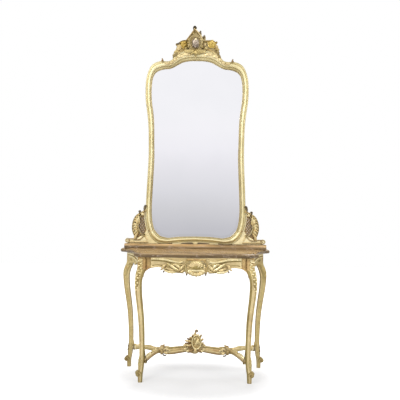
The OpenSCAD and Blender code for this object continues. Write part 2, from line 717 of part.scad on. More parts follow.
shell_back_y = apron_back_y - stump_w / 2 - apron_break + 3 - touch;
module shell_peg(x, z, grow = 0) {
    translate([x, shell_back_y - 2, z])
    rotate([-90, 0, 0])
    cylinder(d = 7 + 2 * grow, h = 14 + grow, $fn = 24);
}
shell_z = under_h - 16 - shell_h / 2;
module apron_shell() {
    color(gilt)
    union() {
        translate([0, shell_back_y, shell_z])
        rotate([90, 0, 0])
        linear_extrude(5)
        polygon([for (j = [0:47])
                    let (t = j * 7.5, r = 1 + 0.07 * cos(9 * t + 90) - 0.1 * cos(3 * t - 90))
                    [shell_w / 2 * 0.93 * r * cos(t), shell_h / 2 * r * sin(t)]]);
        boss([0, shell_z - shell_h * 0.06], shell_back_y - 4, shell_w * 0.2, shell_h * 0.27, 11,
             around = 16, rows = 3);
        for (a = [28:31:160])
            strap([[shell_w * 0.14 * cos(a), shell_z + shell_h * 0.14 * sin(a)],
                   [shell_w * 0.3 * cos(a), shell_z + shell_h * 0.34 * sin(a)],
                   [shell_w * 0.42 * cos(a), shell_z + shell_h * 0.46 * sin(a)]], shell_back_y - 4, 17, 9);
        for (side = [-1, 1])
            strap([for (p = scroll_line([0.16 * shell_w, -0.44 * shell_h], 10, shell_h, 110, 90, 150, 9))
                      [side * p[0], shell_z + p[1]]],
                  shell_back_y - 4, 12, 10);
        shell_peg(0, shell_z);
    }
}

// Sprays: leaves that run out along the lower edge of the apron
spray_line = [[0.16, -0.6], [0.34, -0.64], [0.5, -0.5], [0.62, -0.42], [0.72, -0.5], [0.82, -0.42]];
function spray_path(side) =
    smooth([for (p = spray_line)
              [side * p[0] * stump_front_x * 1.1, under_h + p[1] * (apron_h + apron_drop)]], 3);
function spray_peg(side) = spray_path(side)[6];
module apron_spray(side) {
    line = spray_path(side);
    color(gilt)
    union() {
        strap(line, shell_back_y, 26, 8, taper = 0.6);
        for (i = [1:4]) {
            p = line[2 + 3 * i];
            strap([p, p + [side * 13, 12 - 2 * i], p + [side * 27, 12]], shell_back_y, 17, 7, taper = 0.8);
            strap([p, p + [side * 14, -8], p + [side * 24, -4 - 2 * i]], shell_back_y, 14, 6, taper = 0.8);
        }
        shell_peg(spray_peg(side)[0], spray_peg(side)[1]);
    }
}

// Outline of the mirror frame: knots up the right half, from the middle of the foot to the middle of the arch

foot_x = foot_frame_w / 2;
waist_x = waist_w / 2;
shoulder_x = shoulder_w / 2;
shoulder_z = frame_h - arch_rise;
outer_knots = [[0, foot_rise], [0.31 * foot_x, 0.66 * foot_rise], [0.5 * foot_x, 4], [0.6 * foot_x, touch],
               [0.7 * foot_x, 2.5], [0.78 * foot_x, 10], [0.9 * foot_x, 48], [0.975 * foot_x, 120],
               [foot_x, 0.131 * frame_h], [foot_x, 0.175 * frame_h],
               [mix(foot_x, waist_x, 0.12), 0.226 * frame_h], [mix(foot_x, waist_x, 0.55), 0.329 * frame_h],
               [waist_x, 0.437 * frame_h], [waist_x, 0.525 * frame_h],
               [mix(waist_x, shoulder_x, 0.14), 0.612 * frame_h],
               [mix(waist_x, shoulder_x, 0.5), 0.678 * frame_h],
               [mix(waist_x, shoulder_x, 0.88), 0.733 * frame_h], [shoulder_x, 0.784 * frame_h],
               [0.992 * shoulder_x, shoulder_z - 142], [0.958 * shoulder_x, shoulder_z - 84],
               [0.9 * shoulder_x, shoulder_z - 38], [0.82 * shoulder_x, shoulder_z - 13],
               [0.7 * shoulder_x, shoulder_z], [0.57 * shoulder_x, shoulder_z - 1],
               [0.49 * shoulder_x, shoulder_z + 0.15 * arch_rise],
               [0.44 * shoulder_x, shoulder_z + 0.48 * arch_rise],
               [0.35 * shoulder_x, shoulder_z + 0.82 * arch_rise], [0.18 * shoulder_x, frame_h - 3],
               [0, frame_h]];
// From each knot to the sight edge beside it, in shares of the face's width
face_lean = [[0, 0.76], [-0.11, 0.84], [-0.36, 0.89], [-0.45, 0.9], [-0.52, 0.98], [-0.5, 1.05],
             [-0.66, 1.04], [-0.93, 0.46], [-0.98, 0.13], [-0.93, 0], [-0.93, 0.02], [-0.93, 0.04],
             [-0.91, 0], [-0.87, -0.02], [-0.91, -0.08], [-0.98, -0.14], [-0.96, -0.1], [-0.95, -0.02],
             [-0.96, -0.2], [-0.92, -0.48], [-0.9, -0.88], [-0.98, -1.08], [-0.74, -1.22],
             [-0.28, -1.14], [-0.24, -1.2], [-0.49, -1.42], [-0.64, -1.58], [-0.36, -1.62], [0, -1.66]];
inner_knots = [for (i = [0:len(outer_knots) - 1]) outer_knots[i] + face_lean[i] * face_w];
outer_line = smooth(outer_knots, 2);
inner_line = smooth(inner_knots, 2);
foot_joint = 12;                          // place of the lower joints along the outline
head_joint = 40;                          // place of the upper joints along the outline
crown = len(outer_line) - 1;
base_z = top_h + plinth_h;
frame_back_y = wall_y - wall_gap - board_t;
frame_front_y = frame_back_y - frame_t;
lip_y = frame_back_y - rebate_d;
// The point a given distance outside the sight edge
function beside(i, d) = inner_line[i] + unit(outer_line[i] - inner_line[i]) * d;
function whole(line) = concat(flip_x(line), drop_first(line));
// The frame's outline with a hair's gap round it, for the pieces that are scribed to it
module frame_shape() {
    polygon(shifted(whole(outer_line), -touch));
}

// Moulding as [share of the width from the outside in, share of the thickness]
moulding = [[1, 0.46], [0.93, 0.55], [0.81, 0.6], [0.73, 0.74], [0.62, 0.95], [0.44, 1], [0.27, 0.82],
            [0.17, 0.6], [0.08, 0.64], [0, 0.54]];
function frame_ring(i) =
    let (o = outer_line[i], n = inner_line[i], r = 1 - rebate_w / norm(n - o),
         raw = concat([[0, 0], [r, 0], [r, rebate_d], [1, rebate_d]],
                      [for (m = moulding) [m[0], m[1] * frame_t]]))
    [for (m = raw) [mix(o[0], n[0], m[0]), frame_back_y - m[1], base_z + mix(o[1], n[1], m[0])]];
function flipped_ring(i) = [for (p = frame_ring(i)) [-p[0], p[1], p[2]]];

// The frame is sawn square across, halfway between two stations, and each cut has two dowels.
// Locally X runs from the outer edge to the inner one, and Z back towards the middle of the foot.
module at_joint(i, share, side = 1) {
    o = mix(outer_line[i], outer_line[i + 1], 0.5);
    n = mix(inner_line[i], inner_line[i + 1], 0.5);
    at = mix(o, n, share);
    mirror([side < 0 ? 1 : 0, 0, 0])
    translate([at[0], frame_back_y, base_z + at[1]])
    rotate([0, -atan2(n[1] - o[1], n[0] - o[0]), 0])
    children();
}
module joint_dowels(i, side, grow = 0) {
    for (deep = [0.25, 0.62])
        at_joint(i, 0.36, side)
        translate([0, -deep * frame_t, 0])
        cylinder(d = pin_d + 2 * grow, h = pin_l + 2 * grow, center = true, $fn = 24);
}
// Takes away what lies past a joint, on the crown's side or on the foot's side of it
module joint_waste(i, side, above) {
    at_joint(i, 0, side)
    translate([-face_w, -frame_t - 10, above ? -2 * face_w : 0])
    cube([3 * face_w, frame_t + 20, 2 * face_w]);
}

foot_dowel_x = 0.6 * foot_x;
module foot_dowels(grow = 0) {
    for (side = [-1, 1])
        translate([side * foot_dowel_x, frame_back_y - frame_t * 0.4, base_z - 18 - grow])
        cylinder(d = pin_d + 2 * grow, h = 38 + 2 * grow, $fn = 24);
}
crest_dowel_x = 0.2 * shoulder_x;
crest_dowel_y = frame_back_y - 2 - crest_t / 2;
module crest_dowels(grow = 0) {
    for (side = [-1, 1])
        translate([side * crest_dowel_x, crest_dowel_y, base_z + frame_h - 24 - grow])
        cylinder(d = pin_d + 2 * grow, h = 44 + 2 * grow, $fn = 24);
}

// Screws that hold the boards, one at each end of every board
screw_knots = [for (k = [0:board_n - 1]) round(mix(15, 37, k / (board_n - 1)))];
function screw_at(k) = beside(screw_knots[k], rebate_w + 7);
module screw(grow = 0) {
    rotate_extrude($fn = 24)
    polygon([[0, grow], [screw_d + grow, grow], [screw_d + grow, 0], [screw_d / 2 + grow, -screw_d * 0.6],
             [screw_d / 2 + grow, -screw_l - grow], [0, -screw_l - grow]]);
}
module board_screws_at(sides, grow = 0) {
    for (side = sides)
        for (k = [0:board_n - 1])
            translate([side * screw_at(k)[0], frame_back_y + board_t, base_z + screw_at(k)[1]])
            rotate([-90, 0, 0])
            screw(grow);
}

// Where the hanging plates sit on the stiles
plate_knot = 34;
plate_at = mix(outer_line[plate_knot], beside(plate_knot, rebate_w), 0.45);
module plate_screws_at(sides, grow = 0) {
    for (side = sides)
        for (end = [-1, 1])
            translate([side * plate_at[0], frame_back_y + plate_t, 0])
            translate([0, 0, base_z + plate_z + end * (plate_l / 2 - 9)])
            rotate([-90, 0, 0])
            screw(grow);
}
module plate_pocket() {
    translate([plate_at[0] - hang_d / 2 - 1, frame_back_y - 9, base_z + plate_z - hang_d])
    cube([hang_d + 2, 10, 2.2 * hang_d]);
}

module stile(side) {
    color(gilt)
    mirror([side < 0 ? 1 : 0, 0, 0])
    difference() {
        skin([for (i = [foot_joint:head_joint + 1]) frame_ring(i)]);
        joint_waste(foot_joint, 1, false);
        joint_waste(head_joint, 1, true);
        joint_dowels(foot_joint, 1, seat);
        joint_dowels(head_joint, 1, seat);
        board_screws_at([1], seat);
        plate_screws_at([1], seat);
        plate_pocket();
    }
}

module bottom_rail() {
    color(gilt)
    difference() {
        skin(concat([for (i = [foot_joint + 1:-1:1]) flipped_ring(i)],
                    [for (i = [0:foot_joint + 1]) frame_ring(i)]));
        for (side = [-1, 1]) {
            joint_waste(foot_joint, side, true);
            joint_dowels(foot_joint, side, seat);
        }
        foot_dowels(seat);
    }
}

// A small curled leaf on each shoulder of the frame
leaf_tip = [[-15, -6], [-11, 4], [-5, 8], [-6, 14], [2, 18], [9, 14], [8, 8], [14, 3], [16, -6]];
module shoulder_leaf(side) {
    translate([side * 0.68 * shoulder_x, frame_front_y + 22, base_z + shoulder_z])
    rotate([90, 0, 0])
    linear_extrude(14)
    polygon([for (p = leaf_tip) [side * p[0], p[1]]]);
}

module top_rail() {
    color(gilt)
    difference() {
        union() {
            skin(concat([for (i = [head_joint:crown]) frame_ring(i)],
                        [for (i = [crown - 1:-1:head_joint]) flipped_ring(i)]));
            shoulder_leaf(-1);
            shoulder_leaf(1);
        }
        for (side = [-1, 1]) {
            joint_waste(head_joint, side, false);
            joint_dowels(head_joint, side, seat);
        }
        crest_dowels(seat);
    }
}

module frame_dowels() {
    color(pine) {
        for (side = [-1, 1]) {
            joint_dowels(foot_joint, side);
            joint_dowels(head_joint, side);
        }
        foot_dowels();
        crest_dowels();
    }
}

// Mirror glass, blocks and boards

glass_in = rebate_w - 1.5;                                   // how far the glass runs in behind the lip
bevel_deep = glass_t * 0.2;
glass_front_y = lip_y - bevel_deep * bevel_w / (bevel_w + glass_in) + touch;
function glass_ring(d, y) = [for (p = whole([for (i = [0:crown]) beside(i, d)])) [p[0], y, base_z + p[1]]];
module mirror_glass() {
    color("lightsteelblue")
    skin([glass_ring(glass_in, glass_front_y + glass_t), glass_ring(glass_in, glass_front_y + bevel_deep),
          glass_ring(-bevel_w, glass_front_y)]);
}

block_knots = [18, 25, 31];
module glazing_blocks() {
    color(pine)
    for (side = [-1, 1])
        for (k = block_knots) {
            at = beside(k, rebate_w * 0.45);
            run = inner_line[k + 1] - inner_line[k - 1];
            mirror([side < 0 ? 1 : 0, 0, 0])
            translate([at[0], glass_front_y + glass_t + touch, base_z + at[1]])
            rotate([0, atan2(run[0], run[1]), 0])
            translate([-rebate_w * 0.32, 0, -18])
            cube([rebate_w * 0.64, frame_back_y - glass_front_y - glass_t - 2 * touch, 36]);
        }
}

board_lap = rebate_w + 14;
board_low = inner_line[0][1] - board_lap;
board_high = inner_line[crown][1] + board_lap;
function board_cut(k) = k == 0 ? board_low - 30 : k == board_n ? board_high + 30
                      : (screw_at(k - 1)[1] + screw_at(k)[1]) / 2;
module backboards() {
    color(pine)
    difference() {
        translate([0, frame_back_y + board_t, base_z])
        rotate([90, 0, 0])
        linear_extrude(board_t)
        intersection() {
            polygon(whole([for (i = [0:crown]) beside(i, board_lap)]));
            union()
                for (k = [0:board_n - 1])
                    translate([-shoulder_w / 2, board_cut(k) + 0.5])
                    square([shoulder_w, board_cut(k + 1) - board_cut(k) - 1]);
        }
        board_screws_at([-1, 1], seat);
        for (side = [-1, 1])
            translate([side * plate_at[0] - plate_w / 2 - 1.5, frame_back_y - 1, base_z + plate_z])
            translate([0, 0, -plate_l / 2 - 2])
            cube([plate_w + 3, board_t + 2, plate_l + 4]);
    }
}

module board_screws() {
    color(brass)
    board_screws_at([-1, 1]);
}

module hanging_plates() {
    color(brass)
    difference() {
        for (side = [-1, 1])
            translate([side * plate_at[0] - plate_w / 2, frame_back_y, base_z + plate_z - plate_l / 2])
            cube([plate_w, plate_t, plate_l]);
        for (side = [-1, 1]) {
            translate([side * plate_at[0], frame_back_y - 1, base_z + plate_z])
            rotate([-90, 0, 0])
            cylinder(d = hang_d, h = plate_t + 2, $fn = 32);
            translate([side * plate_at[0] - hang_d / 4, frame_back_y - 1, base_z + plate_z])
            cube([hang_d / 2, plate_t + 2, hang_d]);
        }
        plate_screws_at([-1, 1], seat);
    }
}

module plate_screws() {
    color(brass)
    plate_screws_at([-1, 1]);
}

// Plinth under the mirror

plinth_front_y = wall_y - plinth_d;
module mirror_plinth() {
    color(stone)
    difference() {
        translate([-plinth_w / 2, 0, top_h])
        rotate([90, 0, 90])
        linear_extrude(plinth_w)
        polygon([[wall_y - wall_gap, 0], [wall_y - wall_gap, plinth_h], [plinth_front_y + 8, plinth_h],
                 [plinth_front_y + 5, plinth_h - 3], [plinth_front_y + 6, plinth_h - 8],
                 [plinth_front_y + 2, plinth_h * 0.5], [plinth_front_y + 2, plinth_h * 0.32],
                 [plinth_front_y, plinth_h * 0.28], [plinth_front_y, 0]]);
        foot_dowels(seat);
    }
}

// Filling piece between the plinth and the rise of the frame's foot, with a recess on each side of the middle
module plinth_block() {
    color(gilt)
    translate([0, frame_back_y - 4, base_z])
    rotate([90, 0, 0])
    difference() {
        linear_extrude(frame_t * 0.8)
        difference() {
            translate([-0.46 * foot_x, 0])
            square([0.92 * foot_x, foot_rise]);
            frame_shape();
        }
        for (side = [-1, 1])
            translate([0, 0, frame_t * 0.4])
            linear_extrude(frame_t)
            polygon([for (p = [[0.035, -1], [0.2, -1], [0.18, 2], [0.12, 0.4 * foot_rise],
                               [0.035, 0.45 * foot_rise]]) [side * p[0] * foot_x, p[1]]]);
    }
}

// Side brackets: a C-scroll with a ribbed shell, a small lattice in a recess, and a scroll on the plinth

bracket_y = frame_back_y - 8;                                // back of the brackets' boards
// Outline as [share of the width beyond the frame, share of the height]
bracket_line = [[1.02, 0.05], [0.84, 0.13], [0.8, 0.19], [0.92, 0.27], [1.01, 0.36], [1.03, 0.45],
                [0.97, 0.57], [0.88, 0.66], [0.78, 0.72], [0.66, 0.79], [0.54, 0.835], [0.52, 0.87],
                [0.42, 0.84], [0.27, 0.86], [0.15, 0.885], [0.18, 0.905], [0.1, 0.925]];
bracket_hole = [[0.1, 0.27], [0.18, 0.25], [0.3, 0.34], [0.38, 0.46], [0.42, 0.56], [0.36, 0.65],
                [0.22, 0.67], [0.12, 0.6], [0.09, 0.45]];
bracket_foot = [[1.2, 0.09], [0.9, 0.05], [0.5, 0.06], [0.2, 0.14], [0.1, 0.25]];
function bracket_point(p) = [foot_x + p[0] * bracket_w, p[1] * bracket_h];
function bracket_points(l) = [for (p = l) bracket_point(p)];
module bracket(side) {
    face = bracket_y - bracket_t;
    end = bracket_point([1.26, 0]);
    color(gilt)
    mirror([side < 0 ? 1 : 0, 0, 0])
    union() {
        translate([0, bracket_y, base_z])
        rotate([90, 0, 0])
        difference() {
            linear_extrude(bracket_t)
            difference() {
                polygon(concat([[0.72 * foot_x, 0], bracket_point([1.3, 0]), bracket_point([1.2, 0.1])],
                               smooth(bracket_points(bracket_line), 2), [[0.72 * foot_x, 0.925 * bracket_h]]));
                frame_shape();
            }
            translate([0, 0, bracket_t * 0.4])
            linear_extrude(bracket_t)
            polygon(smooth(concat(bracket_points(bracket_hole), [bracket_point(bracket_hole[0])]), 2));
        }
        translate([0, bracket_y - bracket_t * 0.3, base_z])
        rotate([90, 0, 0])
        linear_extrude(bracket_t * 0.35)
        intersection() {
            polygon(bracket_points([for (p = bracket_hole) mix([0.25, 0.46], p, 1.16)]));
            union()
                for (a = [-45, 45])
                    for (d = [-2:2])
                        translate(bracket_point([0.25, 0.47]))
                        rotate(a)
                        translate([-60, d * 19 - lattice_w / 2])
                        square([120, lattice_w]);
        }
        translate([end[0], bracket_y + 6, base_z + end_r + touch])
        rotate([90, 0, 0])
        cylinder(r = end_r, h = bracket_t + 18, $fn = 40);
        strap([for (p = scroll_line(bracket_point([0.3, 0.865]), -38, bracket_h * 0.88, -112, 0, -110, 16))
                  [p[0], base_z + p[1]]], face + 1, 17, 10, taper = 0.35);
        strap([for (p = smooth(bracket_points(bracket_foot), 3)) [p[0], base_z + p[1]]],
              face + 1, 16, 9, taper = 0.3);
        for (k = [0:4]) {
            a = 10 + k * 26;
            strap([for (r = [0.3, 0.5, 0.66])
                      let (p = bracket_point([0.28 + r * cos(a - 52) * 0.95, 0.46 + r * sin(a - 52) * 0.36]))
                      [p[0], base_z + p[1]]], face + 1, 17, 7);
        }
    }
}

// Crest on the arch of the frame; its outline runs from the left foot over the curled tip to the right foot

crest_line = [[-0.97, -52], [-0.9, -28], [-0.84, -6], [-0.86, 16], [-0.74, 30], [-0.72, 50],
              [-0.56, 64], [-0.42, 58], [-0.32, 82], [-0.2, 108], [-0.1, 130], [-0.05, 144], [-0.09, 160],
              [0, 172], [0.06, 164], [0.03, 148], [0.07, 136], [0.13, 122], [0.2, 132], [0.25, 120],
              [0.24, 106], [0.34, 90], [0.43, 104], [0.45, 84], [0.42, 64], [0.56, 60], [0.72, 66],
              [0.86, 60], [0.93, 38], [0.86, 12], [0.98, 0], [1, -26], [1.08, -56]];
function crest_point(p) = [p[0] * crest_w - crest_left, frame_h + p[1] * crest_h / 172];
crest_front_y = crest_dowel_y - crest_t / 2;
module flower_peg(x, z, grow = 0) {
    translate([x, crest_front_y - 2, base_z + z])
    rotate([-90, 0, 0])
    cylinder(d = pin_d + 2 * grow, h = 14 + grow, $fn = 24);
}
flower_r = crest_w * 0.15;
flower_deep = 0.13;
// Room for a flower in front of the crest's board
module flower_seat(at) {
    translate([at[0], crest_front_y + 2, base_z + at[1]])
    rotate([90, 0, 0])
    cylinder(r = flower_r * (1 + flower_deep) + touch, h = 40, $fn = 32);
}
left_flower = crest_point([-0.5, 32]);
right_flower = crest_point([0.68, 36]);
cartouche_at = crest_point([-0.03, 38]);
module crest() {
    color(gilt)
    difference() {
        union() {
            translate([0, crest_front_y + crest_t, base_z])
            rotate([90, 0, 0])
            linear_extrude(crest_t)
            difference() {
                polygon(concat([crest_point([-0.86, -90])], [for (p = crest_line) crest_point(p)],
                               [crest_point([0.98, -90])]));
                frame_shape();
            }
            difference() {
                for (k = [[-0.05, 96, 100, 74, -10, 0, 260], [0.16, 98, -56, 120, 20, 0, -200],
                          [-0.36, 66, 232, 120, -60, 0, -180]])
                    strap([for (p = scroll_line(crest_point([k[0], k[1]]), k[2], k[3], k[4], k[5], k[6], 10))
                              [p[0], base_z + p[1]]], crest_front_y + 1, 15, 11);
                flower_seat(left_flower);
                flower_seat(right_flower);
            }
        }
        crest_dowels(seat);
        flower_peg(left_flower[0], left_flower[1], seat);
        flower_peg(right_flower[0], right_flower[1], seat);
        flower_peg(cartouche_at[0], cartouche_at[1], seat);
    }
}

module crest_flower(at) {
    color(gilt)
    union() {
        boss([at[0], base_z + at[1]], crest_front_y - touch, flower_r, flower_r, 22,
             lobes = 5, deep = flower_deep, around = 20, rows = 3);
        boss([at[0], base_z + at[1]], crest_front_y - 18, crest_w * 0.055, crest_w * 0.055, 9,
             around = 12, rows = 3);
        flower_peg(at[0], at[1]);
    }
}

cartouche_plate = [[0, -94], [10, -80], [26, -72], [40, -52], [46, -30], [60, -18], [52, 0], [58, 18],
                   [44, 34], [36, 52], [20, 66], [8, 78], [-8, 70], [-22, 62], [-38, 44], [-52, 30],
                   [-48, 10], [-58, -4], [-46, -22], [-42, -44], [-28, -62], [-12, -74]];
module crest_cartouche() {
    k = crest_h / 172;
    back = frame_front_y - touch;
    color(gilt)
    union() {
        translate([cartouche_at[0], back, base_z + cartouche_at[1]])
        rotate([90, 0, 0])
        linear_extrude(8)
        polygon([for (p = cartouche_plate) p * k]);
        translate([0, crest_front_y - touch, base_z])
        rotate([90, 0, 0])
        linear_extrude(crest_front_y - frame_front_y)
        difference() {
            polygon([for (p = cartouche_plate) cartouche_at + p * k * 0.8]);
            frame_shape();
        }
        boss([cartouche_at[0], base_z + cartouche_at[1]], back - 7, 31 * k, 39 * k, 17);
        for (a = [20:40:340])
            strap([for (r = [0.9, 1.1, 1.3]) [0, base_z] + cartouche_at + k * r * [34 * cos(a), 42 * sin(a)]],
                  back - 7, 15, 9);
        flower_peg(cartouche_at[0], cartouche_at[1]);
    }
}

// Each node is drawn by its name
marble_top();
front_apron();
side_apron(-1);  // left_apron
side_apron(1);  // right_apron
back_rail();
cross_bearers();
glue_blocks();
knee_blocks();
leg(-1, false);  // front_left_leg
leg(1, false);  // front_right_leg
leg(-1, true);  // back_left_leg
leg(1, true);  // back_right_leg
apron_shell();
apron_spray(-1);  // left_apron_spray
apron_spray(1);  // right_apron_spray
arm(-1, false);  // front_left_arm
arm(1, false);  // front_right_arm
arm(-1, true);  // back_left_arm
arm(1, true);  // back_right_arm
stretcher_rail(-1);  // left_stretcher_rail
stretcher_rail(1);  // right_stretcher_rail
stretcher_hub();
stretcher_finial();
husk(-1);  // left_husk
husk(1);  // right_husk
stretcher_dowels();
mirror_plinth();
plinth_block();
bracket(-1);  // left_bracket
bracket(1);  // right_bracket
stile(-1);  // left_stile
stile(1);  // right_stile
top_rail();
bottom_rail();
frame_dowels();
mirror_glass();
glazing_blocks();
backboards();
board_screws();
crest();
crest_cartouche();
crest_flower(left_flower);  // left_crest_flower
crest_flower(right_flower);  // right_crest_flower
hanging_plates();
plate_screws();
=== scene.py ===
import math
from math import cos, pi, radians, sin

import bmesh
import bpy
from mathutils import Matrix, Vector


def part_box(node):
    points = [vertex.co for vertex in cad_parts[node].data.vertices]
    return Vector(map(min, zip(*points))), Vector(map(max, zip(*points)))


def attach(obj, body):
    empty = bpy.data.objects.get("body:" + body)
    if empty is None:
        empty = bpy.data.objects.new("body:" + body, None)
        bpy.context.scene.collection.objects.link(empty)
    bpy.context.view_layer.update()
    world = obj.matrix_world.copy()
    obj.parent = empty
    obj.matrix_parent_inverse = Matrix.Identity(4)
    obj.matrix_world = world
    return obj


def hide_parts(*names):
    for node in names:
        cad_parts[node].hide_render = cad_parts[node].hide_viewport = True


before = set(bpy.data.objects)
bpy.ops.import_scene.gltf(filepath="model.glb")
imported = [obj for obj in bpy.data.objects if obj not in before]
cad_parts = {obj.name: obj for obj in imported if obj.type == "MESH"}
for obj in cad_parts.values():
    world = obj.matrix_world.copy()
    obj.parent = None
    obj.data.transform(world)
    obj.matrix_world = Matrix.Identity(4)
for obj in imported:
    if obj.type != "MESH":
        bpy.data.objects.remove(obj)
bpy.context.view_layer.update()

# Lengths in the making are millimetres, in the table's own frame; piece() turns them into metres.
MM = 0.001
UNDER = 806.0          # underside of the marble
MARBLE_TOP = 834.0
BASE = 866.0           # top of the plinth, where the mirror frame stands
WALL = 205.0
FRONT = -205.0
FRAME_BACK = 195.0
FRAME_T = 44.0
ARM_H = 132.0
FORK_X = 226.0
FORK_Z = 159.0
HUB_Y = 10.173
HUB_Z = 174.0
HUB_TOP = 195.84
FORWARD = Vector((0, -1, 0))
UP = (0, 0, 1)
SIDES = (-1, 1)
HANDS = ("left", "right")


# Finishes

def put(tree, socket, value):
    """Links a socket to another node's output, or sets its own value."""
    if isinstance(value, bpy.types.NodeSocket):
        tree.links.new(value, socket)
    elif socket.type == "RGBA":
        socket.default_value = (*value, 1)
    else:
        socket.default_value = value


def add(tree, kind, **settings):
    """A new node. A setting goes to the input of that name, or else to the node's own property."""
    node = tree.nodes.new(kind)
    for key, value in settings.items():
        socket = node.inputs.get(key.replace("_", " "))
        if socket is None:
            setattr(node, key, value)
        else:
            put(tree, socket, value)
    return node


def grain(tree, scale, detail, rough, stretch=(1, 1, 1)):
    """Noise on object coordinates."""
    coords = add(tree, "ShaderNodeTexCoord")
    place = add(tree, "ShaderNodeMapping", Scale=stretch, Vector=coords.outputs["Object"])
    noise = add(tree, "ShaderNodeTexNoise", Scale=scale, Detail=detail, Roughness=rough, Vector=place.outputs["Vector"])
    return noise.outputs["Fac"]


def ramp(tree, source, *stops):
    node = add(tree, "ShaderNodeValToRGB", Fac=source)
    bar = node.color_ramp.elements
    while len(bar) < len(stops):
        bar.new(0.5)
    for element, (at, colour) in zip(bar, stops):
        element.position = at
        element.color = (*colour, 1) if isinstance(colour, tuple) else (colour, colour, colour, 1)
    return node.outputs["Color"]


def blend(tree, share, first, second, kind="MIX"):
    node = add(tree, "ShaderNodeMix", data_type="RGBA", blend_type=kind)
    for i, value in ((0, share), (6, first), (7, second)):
        put(tree, node.inputs[i], value)
    return node.outputs[2]


def multiply(tree, a, b):
    node = add(tree, "ShaderNodeMath", operation="MULTIPLY", use_clamp=True)
    put(tree, node.inputs[0], a)
    put(tree, node.inputs[1], b)
    return node.outputs[0]


def relief(tree, height, strength, distance):
    return add(tree, "ShaderNodeBump", Strength=strength, Distance=distance, Height=height).outputs["Normal"]


def gilding(tree, light, deep, wear_from, metal, rough_low, rough_high, grime_and_shade, mottle, bole):
    """Old water gilding: leaf over red-brown bole, rubbed on the edges; the hollows are darkened as grime and as
    painted shade, the shut-in places from ambient occlusion.
    """
    broad, fine = grain(tree, 6.0, 3.0, 0.5), grain(tree, 48.0, 4.0, 0.55)
    patch, speck = grain(tree, 17.0, 6.0, 0.62), grain(tree, 380.0, 3.0, 0.6)
    leaf_tone = ramp(tree, broad, (0.36, deep), (0.6, light))
    flecks = ramp(tree, fine, (0.34, 1 - 0.9 * mottle), (0.6, 1.04))
    colour = blend(tree, 1.0, leaf_tone, flecks, "MULTIPLY")
    edges = add(tree, "ShaderNodeNewGeometry").outputs["Pointiness"]
    hollow = ramp(tree, edges, (0.40, 1.0), (0.488, 0.0))
    rubbed = ramp(tree, edges, (0.515, 0.0), (0.59, 1.0))
    bare = ramp(tree, patch, (wear_from, 0.0), (wear_from + 0.09, 1.0))
    rub = ramp(tree, fine, (0.48, 0.0), (0.64, 1.0))
    # ambient occlusion darkens shut-in places: painted shade
    occlusion = add(tree, "ShaderNodeAmbientOcclusion", samples=6, Distance=0.014)
    shade = ramp(tree, occlusion.outputs["AO"], (0.2, 1.0), (0.8, 0.0))
    # grime and painted shade go into the hollows with the two dark colours below
    for where, share, over in ((bare, 0.55, bole), (multiply(tree, rubbed, rub), 1.75 * mottle, bole),
                               (shade, grime_and_shade, (0.13, 0.085, 0.025)), (hollow, grime_and_shade * 0.8, (0.15, 0.1, 0.03))):
        colour = blend(tree, multiply(tree, where, share), colour, over)
    return dict(Base_Color=colour, Metallic=metal, Roughness=ramp(tree, patch, (0.35, rough_low), (0.7, rough_high)),
                Normal=relief(tree, blend(tree, 0.4, fine, speck), mottle, 0.001))


def polished_marble(tree, coat, lift):
    """Brown-pink stone with pale clouds and long thin dark and cream veins, under a polish."""
    tones = ((0.15, 0.095, 0.036), (0.30, 0.19, 0.08), (0.47, 0.31, 0.135), (0.62, 0.44, 0.22))
    cloud = grain(tree, 5.0, 6.0, 0.6, (0.45, 4.2, 6.0))
    vein = grain(tree, 2.6, 7.0, 0.62, (0.45, 4.5, 7.0))
    thread = grain(tree, 7.0, 6.0, 0.6, (0.8, 2.2, 2.6))
    body = ramp(tree, cloud, *((share, tuple(lift * c for c in tone)) for share, tone in
                               zip((0.3, 0.44, 0.56, 0.7), tones)))
    dark = ramp(tree, vein, (0.465, 0.0), (0.495, 1.0), (0.525, 0.0))
    pale = ramp(tree, thread, (0.478, 0.0), (0.5, 1.0), (0.518, 0.0))
    colour = blend(tree, multiply(tree, dark, 0.6), body, tuple(0.45 * c for c in tones[0]))
    colour = blend(tree, multiply(tree, pale, 0.4), colour, (0.62, 0.48, 0.36))
    return dict(Base_Color=colour, Roughness=ramp(tree, cloud, (0.3, 0.2), (0.7, 0.3)), Coat_Weight=coat,
                Coat_Roughness=0.14, Specular_IOR_Level=0.35, Normal=relief(tree, cloud, 0.05, 0.001))


def silvered_glass(tree):
    """Old silvering: a clean cool reflection, a trace of bloom, grey foxing near nothing."""
    bloom = grain(tree, 2.2, 3.0, 0.5)
    return dict(Base_Color=ramp(tree, bloom, (0.35, (0.88, 0.88, 0.915)), (0.65, (0.91, 0.905, 0.94))),
                Metallic=1.0, Roughness=ramp(tree, bloom, (0.3, 0.012), (0.7, 0.03)))


def plain_wood(tree):
    """Unfinished softwood with its grain along X."""
    along = (1.5, 26, 26)
    rings, pores = grain(tree, 3.0, 6.0, 0.6, along), grain(tree, 30.0, 4.0, 0.6, along)
    colour = ramp(tree, rings, (0.36, (0.33, 0.19, 0.085)), (0.6, (0.50, 0.33, 0.17)))
    dust = ramp(tree, grain(tree, 4.0, 3.0, 0.5), (0.35, 0.72), (0.65, 1.0))
    return dict(Base_Color=blend(tree, 1.0, colour, dust, "MULTIPLY"),
                Roughness=ramp(tree, pores, (0.3, 0.62), (0.7, 0.85)), Normal=relief(tree, pores, 0.25, 0.0008))


def dull_brass(tree):
    tarnish = grain(tree, 60.0, 5.0, 0.6)
    return dict(Base_Color=ramp(tree, tarnish, (0.35, (0.16, 0.1, 0.04)), (0.6, (0.52, 0.37, 0.14))), Metallic=1.0,
                Roughness=ramp(tree, tarnish, (0.3, 0.5), (0.7, 0.3)), Normal=relief(tree, tarnish, 0.2, 0.0004))


